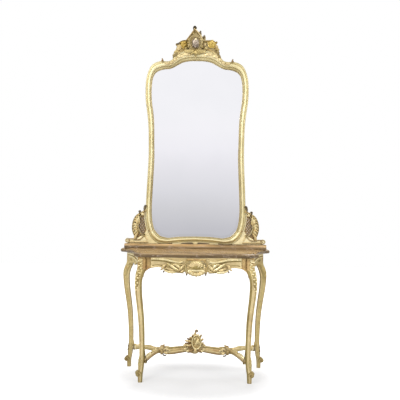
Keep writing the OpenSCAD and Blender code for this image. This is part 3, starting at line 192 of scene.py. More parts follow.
def floor_paint(tree):
    """A painted shadow: grey under the table, white farther out, so that the floor ends without an edge."""
    spot = add(tree, "ShaderNodeTexCoord").outputs["Object"]
    oval = add(tree, "ShaderNodeMapping", Location=(0.0, 0.16, 0.0), Scale=(1.0, 1.5, 1.0), Vector=spot)
    reach = add(tree, "ShaderNodeVectorMath", operation="LENGTH", Vector=oval.outputs["Vector"])
    span = add(tree, "ShaderNodeMapRange", From_Min=0.34, From_Max=0.95, interpolation_type="SMOOTHSTEP",
               Value=reach.outputs["Value"]).outputs["Result"]
    seen = add(tree, "ShaderNodeLightPath").outputs["Is Camera Ray"]
    # the base colour and the glow for camera rays are both lower near the middle: this paints the shadow under the
    # table
    return dict(Roughness=0.75, Specular_IOR_Level=0.2, Base_Color=ramp(tree, span, (0.0, 0.42), (1.0, 0.86)),
                Emission_Color=blend(tree, seen, (0.0, 0.0, 0.0), ramp(tree, span, (0.0, 0.45), (1.0, 0.75))),
                Emission_Strength=1.0)


def finished(name, looks, *args):
    """A material of that name, its shader fed with what looks() returns."""
    mat = bpy.data.materials.new(name)
    mat.use_nodes = True
    shader = mat.node_tree.nodes["Principled BSDF"]
    for key, value in looks(mat.node_tree, *args).items():
        put(mat.node_tree, shader.inputs[key.replace("_", " ")], value)
    return mat


BOLE = (0.36, 0.19, 0.075)
# light and deep leaf, where the wear begins, metal, least and most roughness, grime and painted shade in the hollows,
# mottling, bole
GILDINGS = {
    "leaf": ((0.66, 0.525, 0.23), (0.52, 0.40, 0.155), 0.60, 0.42, 0.30, 0.46, 0.5, 0.16, BOLE),
    "pale": ((0.78, 0.63, 0.33), (0.66, 0.51, 0.25), 0.66, 0.42, 0.30, 0.42, 0.4, 0.1, BOLE),
    # frame_bright is a lighter copy of frame, for burnish and as a painted highlight; frame_hollow and sight_edge are
    # darker copies, for patina and as painted shade
    "frame": ((0.84, 0.745, 0.44), (0.72, 0.61, 0.32), 0.86, 0.42, 0.30, 0.44, 0.18, 0.05, BOLE),
    "frame_bright": ((0.89, 0.785, 0.46), (0.80, 0.69, 0.37), 0.86, 0.36, 0.32, 0.42, 0.18, 0.045, BOLE),
    "sight_edge": ((0.40, 0.31, 0.14), (0.3, 0.22, 0.09), 0.66, 0.36, 0.36, 0.5, 0.6, 0.08, BOLE),
    "rust": ((0.68, 0.48, 0.20), (0.50, 0.33, 0.12), 0.52, 0.36, 0.34, 0.5, 0.7, 0.2, BOLE),
    "burnished": ((0.93, 0.81, 0.49), (0.82, 0.68, 0.35), 0.68, 0.42, 0.24, 0.36, 0.5, 0.16, BOLE),
    "matt": ((0.36, 0.275, 0.09), (0.28, 0.2, 0.06), 0.62, 0.35, 0.42, 0.6, 0.7, 0.16, BOLE),
    "frame_hollow": ((0.66, 0.57, 0.31), (0.55, 0.46, 0.22), 0.86, 0.38, 0.36, 0.5, 0.18, 0.06, BOLE),
    "worn": ((0.66, 0.50, 0.235), (0.48, 0.35, 0.145), 0.54, 0.38, 0.34, 0.52, 0.75, 0.16, BOLE),
    "shell": ((0.50, 0.42, 0.33), (0.33, 0.26, 0.2), 0.6, 0.45, 0.26, 0.4, 0.85, 0.16, (0.25, 0.16, 0.1)),
    "deep": ((0.74, 0.55, 0.15), (0.54, 0.37, 0.08), 0.62, 0.45, 0.26, 0.4, 0.9, 0.16, BOLE),
    "brown": ((0.44, 0.29, 0.12), (0.3, 0.18, 0.07), 0.54, 0.3, 0.36, 0.52, 0.8, 0.16, (0.2, 0.1, 0.04)),
    "dark": ((0.24, 0.19, 0.12), (0.14, 0.11, 0.065), 0.6, 0.35, 0.36, 0.5, 0.7, 0.16, (0.1, 0.06, 0.035)),
}
FINISH = {name: finished(f"gilt_{name}", gilding, *look) for name, look in GILDINGS.items()}
# the stone's edge and the underside of its edge are darker copies of the stone, painted as shade
for name, coat, lift in (("marble_finish", 0.15, 1.27), ("marble_edge_finish", 0.15, 0.82),
                         ("marble_under_edge_finish", 0.2, 0.45), ("marbled_paint", 0.2, 1.0),
                         ("marbled_paint_pale", 0.2, 1.6), ("marbled_paint_dark", 0.15, 0.5)):
    FINISH[name] = finished(name, polished_marble, coat, lift)
for name, looks in (("mirror_finish", silvered_glass), ("pine_along", plain_wood), ("brass_finish", dull_brass)):
    FINISH[name] = finished(name, looks)


# Curves

def mix(a, b, t):
    return a + (b - a) * t


def smooth(knots, n):
    """A curve through the knots, with n steps between two of them."""
    last = len(knots) - 1
    out = []
    for i in range(last):
        four = (knots[max(i - 1, 0)], knots[i], knots[i + 1], knots[min(i + 2, last)])
        for k in range(n):
            t = k / n
            out.append([0.5 * (2 * b + (c - a) * t + (2 * a - 5 * b + 4 * c - d) * t * t
                               + (3 * b - a - 3 * c + d) * t ** 3) for a, b, c, d in zip(*four)])
    return out + [list(knots[-1])]


def at_share(line, u):
    """The point and the direction at a share u of a line's steps."""
    last = len(line) - 1
    i = min(int(u * last), last - 1)
    a, b = Vector(line[i]), Vector(line[i + 1])
    return a.lerp(b, u * last - i), (b - a).normalized()


def even(line, steps):
    """The same line with points at equal distances."""
    gone = [0.0]
    for a, b in zip(line, line[1:]):
        gone.append(gone[-1] + (Vector(b) - Vector(a)).length)
    out = []
    i = 0
    for k in range(steps + 1):
        want = gone[-1] * k / steps
        while i < len(gone) - 2 and gone[i + 1] < want:
            i += 1
        span = gone[i + 1] - gone[i] or 1.0
        out.append(list(Vector(line[i]).lerp(Vector(line[i + 1]), (want - gone[i]) / span)))
    return out


def curl(line, radius, turns, way, tight=0.22, steps=26):
    """Carries a flat line on into a volute that winds inwards; way is 1 to the left, -1 to the right."""
    out = [list(p) for p in line]
    a, b = Vector(out[-2]), Vector(out[-1])
    heading = math.atan2(b.y - a.y, b.x - a.x)
    x, z = out[-1][:2]
    turn = turns * 2 * pi / steps
    for k in range(steps):
        r = radius * mix(1.0, tight, (k + 0.5) / steps)
        heading += way * turn / 2
        x += r * turn * cos(heading)
        z += r * turn * sin(heading)
        heading += way * turn / 2
        out.append([x, z])
    return out


def two_curls(line, first, second):
    """Volutes at both ends; each is (radius, turns, way as seen going out of that end)."""
    return curl(curl(line, *second)[::-1], *first)[::-1]


def spiral(start, turns, widest, least, steps, power=1.0):
    """Flat points that wind in to the middle; turns are negative where they run clockwise."""
    shares = [i / steps for i in range(steps + 1)]
    polar = [(start + 2 * pi * turns * t, mix(widest, least, t ** power)) for t in shares]
    return [(r * cos(a), r * sin(a)) for a, r in polar]


def look_up(x, table):
    for (x0, y0), (x1, y1) in zip(table, table[1:]):
        if x <= x1:
            return mix(y0, y1, min(1.0, max(0.0, (x - x0) / (x1 - x0 or 1.0))))
    return table[-1][1]


def along(point, knots, n=1):
    """A smooth line through the knots, each point of it put where point() says."""
    return [point(*k) for k in smooth(knots, n)]


def near(at, *offsets, side=1):
    """3-D points at offsets from one point."""
    return [(at[0] + side * a, at[1] + b, at[2] + c) for a, b, c in offsets]


def direction(line, i):
    """The way a line of 3-D points runs at its point i."""
    return (Vector(line[min(i + 1, len(line) - 1)]) - Vector(line[max(i - 1, 0)])).normalized()


# Making shapes

def toned(make):
    """A shape that takes one of the piece's finishes: the number of it comes after bm."""
    def made(bm, tone, *args, **settings):
        before = set(bm.faces)
        make(bm, *args, **settings)
        for f in bm.faces:
            if f not in before:
                f.material_index = tone
    return made


def formed(bm, nu, nv, place, paint=None):
    """A grid whose points are moved to place(u, v)."""
    made = bmesh.ops.create_grid(bm, x_segments=nu, y_segments=nv, size=0.5)["verts"]
    faces = {f for v in made for f in v.link_faces}
    if paint:
        for f in faces:
            f.material_index = paint(f.calc_center_median().y + 0.5)
    for v in made:
        v.co = place(v.co.x + 0.5, v.co.y + 0.5)
    return made, list(faces)


def open_edges(faces):
    return list({e for f in faces if f.is_valid for e in f.edges if len(e.link_faces) == 1})


def skinned(bm, rings, shut=False, paint=None):
    """A closed skin over rings of equal length; paint gives the finish for a place in the ring."""
    n = len(rings[0])
    nu = len(rings) if shut else len(rings) - 1
    made, faces = formed(bm, nu, n, lambda u, v: rings[round(u * nu) % len(rings)][round(v * n) % n],
                         (lambda v: paint(int(v * n))) if paint else None)
    bmesh.ops.remove_doubles(bm, verts=made, dist=0.001)
    if not shut:
        bmesh.ops.holes_fill(bm, edges=open_edges(faces), sides=0)


skin = toned(skinned)


def sweep(path, section, up, widths, heights):
    """Rings of a section carried along a path of 3-D points; a width or height may be one number."""
    widths, heights = ([k] * len(path) if isinstance(k, (int, float)) else k for k in (widths, heights))
    out = []
    for i, p in enumerate(path):
        t = direction(path, i)
        n = Vector(up).cross(t)
        n = n.normalized() if n.length > 1e-6 else Vector((1, 0, 0))
        b = t.cross(n)
        out.append([Vector(p) + n * s * widths[i] + b * h * heights[i] for s, h in section])
    return out


def both_ways(half, *middle):
    """A section that is the same on both sides, from its right half and the points in its middle."""
    return [*half, *middle] + [(-s, h) for s, h in reversed(half)]


STEM = both_ways([(1, -0.25), (1, 0.12), (0.9, 0.5), (0.66, 0.84), (0.38, 0.98), (0.17, 0.8)], (0, 0.66))
ROLL = both_ways([(1, -0.25), (1, 0.15), (0.87, 0.55), (0.6, 0.86), (0.3, 0.98)], (0, 1.02))
COVE = both_ways([(1, -0.25), (1, 0.85), (0.82, 1.0), (0.62, 0.9), (0.4, 0.55)], (0, 0.38))


def swell(n, start, end):
    """Widths that run from start over a full middle to end."""
    return [mix(start if i < n / 2 else end, 1.0, max(0.0, sin(pi * i / (n - 1))) ** 0.55) for i in range(n)]


@toned
def strap(bm, flat, face, wide, high, section, ends, steps):
    """A carved strap on an upright face; flat is (x, z) and face gives the y of the ground it lies on."""
    path = [(x, face(x) if callable(face) else face, z) for x, z in even(flat, steps)]
    w = swell(len(path), *ends)
    skinned(bm, sweep(path, section, FORWARD, [wide / 2 * k for k in w], [high * mix(1, k, 0.6) for k in w]))


@toned
def leaf(bm, spine, wide, out, lobes=4, cut=0.5, rise=4.0, thick=2.6, rows=20, cols=8, base=0.35, cup=0.0):
    """An acanthus leaf along a spine of 3-D points; out is the way its face looks."""
    line = even(smooth(spine, 5), 40)
    out = Vector(out).normalized()

    def place(u, v):
        s = 2 * v - 1
        p, _ = at_share(line, min(1.0, u + 0.2 * abs(s) * (1 - u) * u * 2))
        _, t = at_share(line, u)
        side = t.cross(out).normalized()
        face = side.cross(t).normalized()
        teeth = abs(sin(pi * lobes * min(u, 0.999))) ** 0.7 if lobes else 1.0
        body = mix(base, 1.0, min(1.0, u / 0.3)) * (1 - max(0.0, (u - 0.45) / 0.55) ** 2) ** 0.6
        w = wide / 2 * body * (1 - cut * (1 - teeth) * min(1, 2 * u + 0.4))
        ribs = 0.35 * cos(pi * lobes * 2 * u) * abs(s) if lobes else 0.0
        vein = -0.55 * math.exp(-(s / 0.16) ** 2)
        lift = rise * ((1 - s * s) * (0.9 + 0.1 * teeth) + ribs * 0.5 + vein - cup * s * s) * (0.4 + 0.6 * body)
        return p + side * s * w + face * lift

    _, faces = formed(bm, rows, cols, place)
    bmesh.ops.solidify(bm, geom=faces, thickness=thick)


def tip(bm, tone, a, b, y, rises, wide, *shape, shift=(0, 0)):
    """A leaf from a to b, both (x, z), on an upright face at y. Rises give the y of its three knots, shift
    moves the middle one."""
    middle = ((a[0] + b[0]) / 2 + shift[0], (a[1] + b[1]) / 2 + shift[1])
    leaf(bm, tone, [(x, y + r, z) for (x, z), r in zip((a, middle, b), rises)], wide, FORWARD, *shape)


def axes(out):
    """Out, sideways and up for something that stands on a face."""
    out = Vector(out).normalized()
    side = Vector(UP).cross(out)
    side = side.normalized() if side.length > 0.01 else Vector((1, 0, 0))
    return out, side, out.cross(side)


@toned
def dome(bm, at, out, rx, rz, high, rings, around, lobes=0, deep=0.0):
    """A boss that stands on a face: an oval dome with a scalloped rim, its axis along out."""
    out, side, up = axes(out)

    def place(u, v):
        a = u * pi / 2 * 0.985
        t = 2 * pi * v
        r = cos(a) * mix(1.0, 1 + deep * cos(lobes * t), cos(a))
        return Vector(at) + side * rx * r * cos(t) + up * rz * r * sin(t) + out * high * sin(a)

    made, faces = formed(bm, rings, around, place)
    bmesh.ops.remove_doubles(bm, verts=made, dist=0.01)
    bmesh.ops.holes_fill(bm, edges=open_edges(faces), sides=0)


@toned
def rosette(bm, at, out, r, petals, high, turn=0.0):
    """A flower: a ring of cupped petals round a button."""
    out, side, up = axes(out)
    at = Vector(at)

    def place(u, v):
        t = 2 * pi * v
        lobe = abs(cos(petals * (t + turn) / 2)) ** 0.5
        rr = r * u * (0.70 + 0.30 * lobe)
        ring = sin(min(1.0, u * 1.15) * pi) ** 0.8
        h = high * (0.25 + 0.75 * ring * (0.55 + 0.45 * lobe)) * (1 - 0.55 * u ** 4)
        return at + side * rr * cos(t) + up * rr * sin(t) + out * h

    made, faces = formed(bm, 8, petals * 8, place)
    bmesh.ops.remove_doubles(bm, verts=made, dist=0.01)
    grown = bmesh.ops.extrude_edge_only(bm, edges=open_edges(faces))["geom"]
    for g in grown:
        if isinstance(g, bmesh.types.BMVert):
            g.co -= out * ((g.co - at).dot(out) + 1.0)
    rim = [g for g in grown if isinstance(g, bmesh.types.BMEdge) and len(g.link_faces) == 1]
    bmesh.ops.holes_fill(bm, edges=rim, sides=0)
    dome(bm, 0, at + out * high * 0.2, out, r * 0.27, r * 0.27, high * 0.95, 4, 14)


@toned
def fan(bm, at, r_in, r_out, start, sweep_deg, ribs, high, cup, squash):
    """A scallop shell: ribs that spread from the middle to a rounded, scalloped rim."""
    out, side, up = axes(FORWARD)

    def place(u, v):
        t = radians(start + sweep_deg * v)
        rib = abs(sin(pi * ribs * v))
        rr = mix(r_in, r_out * (0.9 + 0.1 * rib ** 0.6), u)
        lift = high * (sin(pi * u ** 0.8) * cup + u * (1 - cup)) * (0.62 + 0.38 * rib) + 0.6
        if u > 0.92:
            lift *= 0.86
        return Vector(at) + side * rr * cos(t) * -1 + up * rr * sin(t) * squash + out * lift

    _, faces = formed(bm, 9, ribs * 8, place)
    bmesh.ops.solidify(bm, geom=faces, thickness=3.0)


@toned
def slab(bm, outline, y0, y1, bevel):
    """A board sawn to an outline in the XZ plane, with softened edges."""
    face = bm.faces.new([bm.verts.new((x, y1, z)) for x, z in outline])
    out = bmesh.ops.extrude_face_region(bm, geom=[face])["geom"]
    moved = {g for g in out if isinstance(g, bmesh.types.BMVert)}
    bmesh.ops.translate(bm, verts=list(moved), vec=(0, y0 - y1, 0))
    if bevel:
        edges = [e for e in bm.edges if all(v in moved for v in e.verts)]
        bmesh.ops.bevel(bm, geom=edges, offset=bevel, offset_type="OFFSET", segments=2, profile=0.5,
                        affect="EDGES", material=-1)


@toned
def rolled(bm, path, across, sections):
    """A band rolled up on itself along a path; a section's points are (along the roll's axis, outwards)."""
    rings = []
    for i, (p, section) in enumerate(zip(path, sections)):
        n = across.cross(direction(path, i)).normalized()
        rings.append([p + across * a + n * b for a, b in section])
    skinned(bm, rings)


@toned
def oval_frame(bm, at, rx, rz, wide, high):
    """A roll that runs round an oval on an upright face."""
    n = 48
    path = [Vector(at) + Vector((rx * cos(2 * pi * i / n), 0, rz * sin(2 * pi * i / n))) for i in range(n)]
    rings = []
    for i, p in enumerate(path):
        side = FORWARD.cross((path[(i + 1) % n] - path[i - 1]).normalized()).normalized()
        rings.append([p + side * wide * a + FORWARD * high * b for a, b in ROLL])
    skinned(bm, rings, shut=True)


def piece(name, bm, finishes, nodes, sharp=42, flip=False):
    if flip:
        bmesh.ops.scale(bm, vec=(-1, 1, 1), verts=bm.verts)
    bmesh.ops.remove_doubles(bm, verts=bm.verts, dist=0.0015)
    bmesh.ops.recalc_face_normals(bm, faces=bm.faces)
    bmesh.ops.scale(bm, vec=(MM, MM, MM), verts=bm.verts)
    mesh = bpy.data.meshes.new(name)
    bm.to_mesh(mesh)
    bm.free()
    obj = bpy.data.objects.new(name, mesh)
    bpy.context.scene.collection.objects.link(obj)
    for finish in finishes.split():
        mesh.materials.append(FINISH[finish])
    mesh.shade_smooth()
    mesh.set_sharp_from_angle(angle=radians(sharp))
    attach(obj, "root")
    if nodes:
        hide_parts(*nodes)


def carved(node, fill, finishes, *args, flip=False, sharp=42):
    """Makes the carved piece that stands for a node; fill() puts the shapes into its mesh."""
    bm = bmesh.new()
    fill(bm, *args)
    piece(f"{node}_carved", bm, finishes, [node], sharp=sharp, flip=flip)


def pair(node, fill, finishes):
    """The right-hand piece and its mirror image."""
    for hand in HANDS:
        carved(f"{hand}_{node}", fill, finishes, flip=hand == "left")


# Marble top

def shifted(line, d):
    """An open line moved inwards, with mitred corners."""
    ways = [(Vector(b) - Vector(a)).normalized() for a, b in zip(line, line[1:])]
    out = []
    for p, d1, d2 in zip(line, ways[:1] + ways, ways + ways[-1:]):
        n1, n2 = Vector((-d1.y, d1.x)), Vector((-d2.y, d2.x))
        out.append(Vector(p) + (n1 + n2) * d / (1 + n1.dot(n2)))
    return out


def marble_slab():
    cant = FRONT + 46
    thick, moulded = MARBLE_TOP - UNDER, 32          # how far in the moulding of the edge reaches
    edge_from, top_from = UNDER + 19, MARBLE_TOP - 2.5
    half = smooth([[0, FRONT], [690 * 0.28, FRONT + 5], [345, FRONT + 1]], 14)
    side = smooth([[402, cant], [407, mix(cant, WALL, 0.27)], [mix(804, 1050, 0.3) / 2, mix(cant, WALL, 0.6)],
                   [mix(804, 1050, 0.72) / 2, mix(cant, WALL, 0.8)], [525, WALL - 44]], 10)
    right = half + side + [[525, WALL]]
    plan = [[-x, y] for x, y in reversed(right)] + right[1:]
    edge = smooth([[0.28, 0], [0.12, 0.1], [0.03, 0.28], [0, 0.46], [0.03, 0.62], [0.14, 0.78], [0.38, 0.88]], 3)
    edge += [[0.42, 0.905], [0.44, 0.93], [0.90, 0.935], [0.93, 0.96], [0.97, 1]]
    bm = bmesh.new()
    skinned(bm, [[(p.x, p.y, UNDER + up * thick) for p in shifted(plan, inward * moulded)] for inward, up in edge])
    # the moulded edge is painted darker as shade, its lower part darker still
    for f in bm.faces:
        z = f.calc_center_median().z
        f.material_index = 2 if z < edge_from else 1 if z < top_from else 0
    piece("marble_slab", bm, "marble_finish marble_edge_finish marble_under_edge_finish", ["marble_top"],
          sharp=35)


def plinth():
    """The moulded plinth that the mirror stands on, painted to match the marble."""
    low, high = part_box("mirror_plinth")
    front, back, end = low[1] / MM, high[1] / MM, high[0] / MM
    plain_from, highlight_from, steps = MARBLE_TOP + 15, MARBLE_TOP + 23, 24
    section = [(back, 0), (back, 32)] + [(front + y, z) for y, z in (
        (8.6, 32), (7, 31.4), (5.4, 30), (5, 28), (5.6, 25), (5.6, 22), (4, 18.6), (2, 16), (2, 10.6), (1.2, 9.4),
        (0, 8.6), (0, 0))]
    bm = bmesh.new()
    skinned(bm, [[(mix(-end, end, i / steps), y, MARBLE_TOP + z) for y, z in section] for i in range(steps + 1)])
    # along the front, the upper band is painted paler as a highlight and the lower part darker as shade
    for f in bm.faces:
        c = f.calc_center_median()
        if c.y < front + 8 and abs(c.x) < end - 1:
            f.material_index = 1 if c.z > highlight_from else 0 if c.z > plain_from else 2
    piece("plinth_moulded", bm, "marbled_paint marbled_paint_pale marbled_paint_dark", ["mirror_plinth"])


marble_slab()
plinth()


# Legs. Values that come in twos are for a front leg and a back leg.

HEADS = ((348.0, -150.0), (453.0, 165.0))
SWINGS = ((0.68, 0.78), (1.0, 0.12))
TURNS = (-1, 1)
ENDS = ("front", "back")
STUMP, KNEE_W, ANKLE_W, FOOT_W = 50.0, 49.0, 34.0, 27.0
KNEE_OUT, ANKLE_IN, SCROLL_H, SCROLL_R = 29.0, 9.0, 56.0, 19.0
REACH = UNDER - 66
AROUND = 40                    # steps round a leg
HEAD_LOW, HOLLOW_LOW = 728, 150        # above these the head is rust-coloured and the faces are hollowed


def leg_line(back):
    """The leg's knots made smooth: x, y, z, half width, roundness."""
    kx, ky = (KNEE_OUT * s for s in SWINGS[back])
    a = ANKLE_IN / KNEE_OUT
    down = [(t, mix(REACH, ARM_H, t)) for t in (0.105, 0.175, 0.3, 0.44, 0.59, 0.76, 0.9)]
    heights = [UNDER - 0.2, UNDER - 40, REACH - 4, REACH - 30] + [z for _, z in down]
    heights += [ARM_H, mix(ARM_H, SCROLL_H, 0.66), SCROLL_H, SCROLL_H * 0.45, 0]
    outs = [0, 0, 0, 0.34, 0.8, 1, 0.8, 0.36, -0.12 * a, -0.8 * a, -a, -0.9 * a, -0.3 * a, 0.3 * a, 0.42 * a, 0.42 * a]
    widths = [STUMP, STUMP, STUMP - 1, mix(STUMP, KNEE_W, 0.4), KNEE_W, KNEE_W - 2]
    widths += [mix(KNEE_W, ANKLE_W, t) for t in (0.35, 0.52, 0.68, 0.86)]
    widths += [ANKLE_W, ANKLE_W, ANKLE_W - 2, ANKLE_W - 2, mix(ANKLE_W, FOOT_W, 0.6), FOOT_W]
    rounds = [0.0, 0.0, 0.08, 0.3, 0.42, 0.46, 0.5, 0.55, 0.6, 0.6, 0.6, 0.6, 0.6, 0.6, 0.55, 0.5]
    line = smooth([[o * kx, o * ky, z, w / 2, r] for o, z, w, r in zip(outs, heights, widths, rounds)], 9)
    return [k[:4] + [max(0.0, k[4])] for k in line]


LEG_LINES = [leg_line(back) for back in (False, True)]


def leg_at(back, z):
    """Centre, half width and roundness of the right-hand leg at a height."""
    line = LEG_LINES[back]
    k = line[-1]
    for a, b in zip(line, line[1:]):
        if b[2] <= z <= a[2]:
            k = [mix(p, q, (a[2] - z) / (a[2] - b[2])) for p, q in zip(a, b)]
            break
    hx, hy = HEADS[back]
    return hx + k[0], hy + TURNS[back] * k[1], k[3], k[4]


def block_point(t, roundness):
    c, s = cos(t), sin(t)
    m = max(abs(c), abs(s))
    return mix(c / m, c, roundness), mix(s / m, s, roundness)


def on_leg(back, z, angle, off=0.0):
    """A point on the leg's skin at a height, at an angle round it."""
    x, y, r, roundness = leg_at(back, z)
    px, py = block_point(angle, roundness)
    return Vector((x + (r + off) * px, y + (r + off) * py, z))


def foot_volute(bm, back):
    """The scroll on the foot, rolled up on itself with an eye at each side."""
    hx, hy = HEADS[back]
    sx, sy = SWINGS[back]
    way = Vector((1, 0.12 if back else -0.2, 0)).normalized()
    across = Vector((-way.y, way.x, 0))
    proud = 6.0            # how far the front eye stands out before the foot
    centre = Vector((hx + 0.3 * ANKLE_IN * sx, hy + TURNS[back] * 0.3 * ANKLE_IN * sy, SCROLL_H))
    centre += way * (ANKLE_W / 2 - 1)
    steps = 46
    path = [centre + way * a + Vector((0, 0, b)) for a, b in
            spiral(radians(175), -1.4, SCROLL_R - 0.6, 4.4, steps, 0.8)]
    # the section lies across the band: its width runs along the axis of the roll
    edge = [(-1, -1), (1, -1), (1, 0.7), (0.78, 1.0), (0.3, 0.72), (-0.3, 0.72), (-0.78, 1.0), (-1, 0.7)]
    shares = [i / steps for i in range(steps + 1)]
    rolled(bm, 2, path, across, [[(mix(ANKLE_W - 4, ANKLE_W + 3, t) / 2 * e - proud * (e < 0), mix(2.6, 1.8, t) * q)
                                  for e, q in edge] for t in shares])
    rear, front = centre + across * (ANKLE_W / 2 - 3.5), centre - across * (ANKLE_W / 2 + proud - 3.5)
    wide = SCROLL_R - 2
    for tone, at, out, rx, rz, high, rings, around in (
            (0, rear + across * 0.5, across, 5.4, 5.4, 4.6, 4, 16), (0, rear, across, wide, wide, 0.8, 2, 24),
            (0, front, -across, wide, wide, 0.8, 2, 24),
            (3, front - across * 0.4 - way * 2, -across, 5.6, 7.0, 1.6, 3, 16),
            (1, front - across * 0.4 - way * 8.5, -across, 3.2, 6.5, 2.0, 3, 12)):
        dome(bm, tone, at, out, rx, rz, high, rings, around)


# Painted light and shade round the leg, as angles round it and a finish: a pale middle on the front face as a
# painted highlight, brown and olive bands beside its corners as painted shade.
LEG_LIGHT_AND_SHADE = (((246, 289, 1), (289, 299, 3), (214, 246, 2)), ((300, 310, 3), (225, 246, 1), (212, 225, 2)))


def leg(bm, back):
    hx, hy = HEADS[back]
    corner = math.atan2(TURNS[back], 1)
    rings = []
    for k in LEG_LINES[back]:
        ring = []
        for j in range(AROUND):
            t = 2 * pi * (j + 0.5) / AROUND
            px, py = block_point(t, k[4])
            edge = max(0.0, cos(t - corner) - 0.7) / 0.3
            # the faces are hollowed a little between the corners, as a carver leaves them
            hollow = 0.9 * k[4] * max(0.0, cos(4 * t)) if k[2] > HOLLOW_LOW else 0.0
            r = k[3] + 3 * k[4] * edge * (0.4 + 0.6 * edge) - hollow
            ring.append((hx + k[0] + r * px, hy + TURNS[back] * k[1] + r * py, k[2]))
        rings.append(ring)
    skinned(bm, rings, paint=lambda j: next((tone for low, high, tone in LEG_LIGHT_AND_SHADE[back]
                                             if low < 360 * (j + 1) / AROUND <= high), 0))
    if not back:
        for f in bm.faces:
            c = f.calc_center_median()
            if c.z > HEAD_LOW and c.y < hy:
                f.material_index = 5
    foot_volute(bm, back)

    def down(angle, heights, off=0.5):
        return [on_leg(back, z, angle, off) for z in heights]

    if back:
        leaf(bm, 0, down(0.45 - pi / 2, (750, 715, 680, 640)), 34, (0.3, -1, 0), 4, 0.5, 5, 3)
        leaf(bm, 0, down(0.1, (770, 730, 690, 640)), 34, (1, 0, 0), 4, 0.5, 4, 3)
    else:
        # acanthus on the knee: one long leaf, two side leaves and husks; the long leaf lies dark olive under the husks,
        # painted as the shade between them
        toward = corner - 0.38         # the husks look more to the front than the corner does
        face = Vector((cos(toward), sin(toward), 0))
        leaf(bm, 2, down(toward, (794, 740, 700, 655, 606), -0.5), 34, face, 6, 0.4, 4, 3)
        for turn in (-0.62, 0.62):
            leaf(bm, 0, [on_leg(back, z, corner + turn * k, 1.5) for z, k in
                         ((770, 0.7), (735, 0.95), (705, 1.25), (684, 1.65))],
                 24, (cos(corner + turn), sin(corner + turn), 0), 3, 0.6, 5, 3)
        for i in range(13):
            dome(bm, 4, on_leg(back, 780 - 15.2 * i, toward + 0.2 * (-1) ** i, 1.5), face, 10 - 0.35 * i, 6.4,
                 8 - 0.3 * i, 4, 14)
        for i in range(6):
            dome(bm, 1, on_leg(back, 772 - 17 * i, toward - 0.5, 0.5), FORWARD, 5, 6, 5, 4, 12)
        rosette(bm, 4, on_leg(back, 786, toward, -3), face + Vector((0, 0, 0.15)), 15, 6, 9)
    # leaf where the arm of the stretcher goes in, and a reeded cuff above the foot
    inward = math.atan2(HUB_Y - hy, -hx * 0.45)
    # on a front leg this leaf is painted dark, as the shadow where the arm meets the leg
    leaf(bm, 0 if back else 6, down(inward, (188, 172, 156, 146) if back else (204, 178, 150, 118)), 26,
         (cos(inward), sin(inward), 0), 3, 0.45, 5, 2.4)
    leaf(bm, 0, down(corner, (74, 92, 116, 142, 168), 0.6), 30, (cos(corner), sin(corner), 0), 4, 0.5, 4, 2.4, cup=0.2)


for hand in HANDS:
    for back, end in enumerate(ENDS):
        carved(f"{end}_{hand}_leg", leg, "leaf pale matt brown burnished rust dark", back, flip=hand == "left")


# Aprons

FRONT_EDGE = smooth([[0, 100], [0.17, 66 + 34 * 0.8], [0.34, 66 + 34 * 0.68], [0.5, 66 + 17], [0.62, 70],
                     [0.76, 64], [0.9, 71], [1, 92]], 8)
BREAK_X = 323.0 - 34
APRON_END = 323.0
APRON_BACK = -150.0
FRONT_PLAN = smooth([[0, 35], [BREAK_X * 0.5, 34], [BREAK_X, 34]], 6) + [[BREAK_X + 3, 23], [APRON_END, 13]]


def apron_out(x):
    return look_up(abs(x), FRONT_PLAN)


def front_low(x):
    """How far the front apron's lower edge hangs below the marble."""
    return look_up(abs(x) / APRON_END, FRONT_EDGE)


def apron_section(out, low):
    top = [(6, 0.2), (6.4, 3), (5.6, 6.5), (3, 8), (1.6, 10.5), (0, 14), (-1.2, 18)]
    foot = [(-1.2, 17), (-0.2, 13), (1.8, 11.6), (3.6, 9), (4, 5.5), (2.8, 1.6), (0.8, 0)]
    return ([(0, low), (0, UNDER - 0.2)] + [(out + a, UNDER - b) for a, b in top]
            + [(out + a, low + b) for a, b in foot])


def front_apron(bm):
    stations = [BREAK_X * i / 44 for i in range(45)] + [mix(BREAK_X + 3, APRON_END, i / 6) for i in range(7)]
    skinned(bm, [[(x, APRON_BACK - o, z) for o, z in apron_section(apron_out(x), UNDER - front_low(x))]
                 for x in [-x for x in reversed(stations[1:])] + stations])
    # past the breakfront the apron's ends are rust-brown, as worn gilding and as painted shade where they turn away,
    # and the short step between is painted dark as shade
    for f in bm.faces:
        x = abs(f.calc_center_median().x)
        if BREAK_X < x:
            f.material_index = 2 if x < BREAK_X + 3 else 1

    def ground(x):
        return APRON_BACK - apron_out(x) - 0.4

    # the bright moulding that dips between the corner and the shell, with a dark strip under it painted as the shade
    # of its hollow
    bright = smooth([[286, 795], [250, 796], [205, 793], [165, 785], [130, 777], [104, 775], [84, 780]], 6)
    dark = smooth([[286, 784.5], [250, 785], [205, 781.5], [165, 773], [130, 765.5], [100, 764]], 6)
    worn = [[x, UNDER + 16 - front_low(x)] for x in range(120, 286, 6)]      # along the bottom of the panel
    for side in SIDES:
        for tone, line, wide, high, ends, steps in (
                (3, bright, 16, 7.5, (0.7, 0.85), 90), (2, dark, 7, 2.0, (0.8, 0.6), 80),
                (2, worn, 4, 1.2, (0.6, 0.8), 60)):
            strap(bm, tone, [[side * x, z] for x, z in line], ground, wide, high, ROLL, ends, steps)


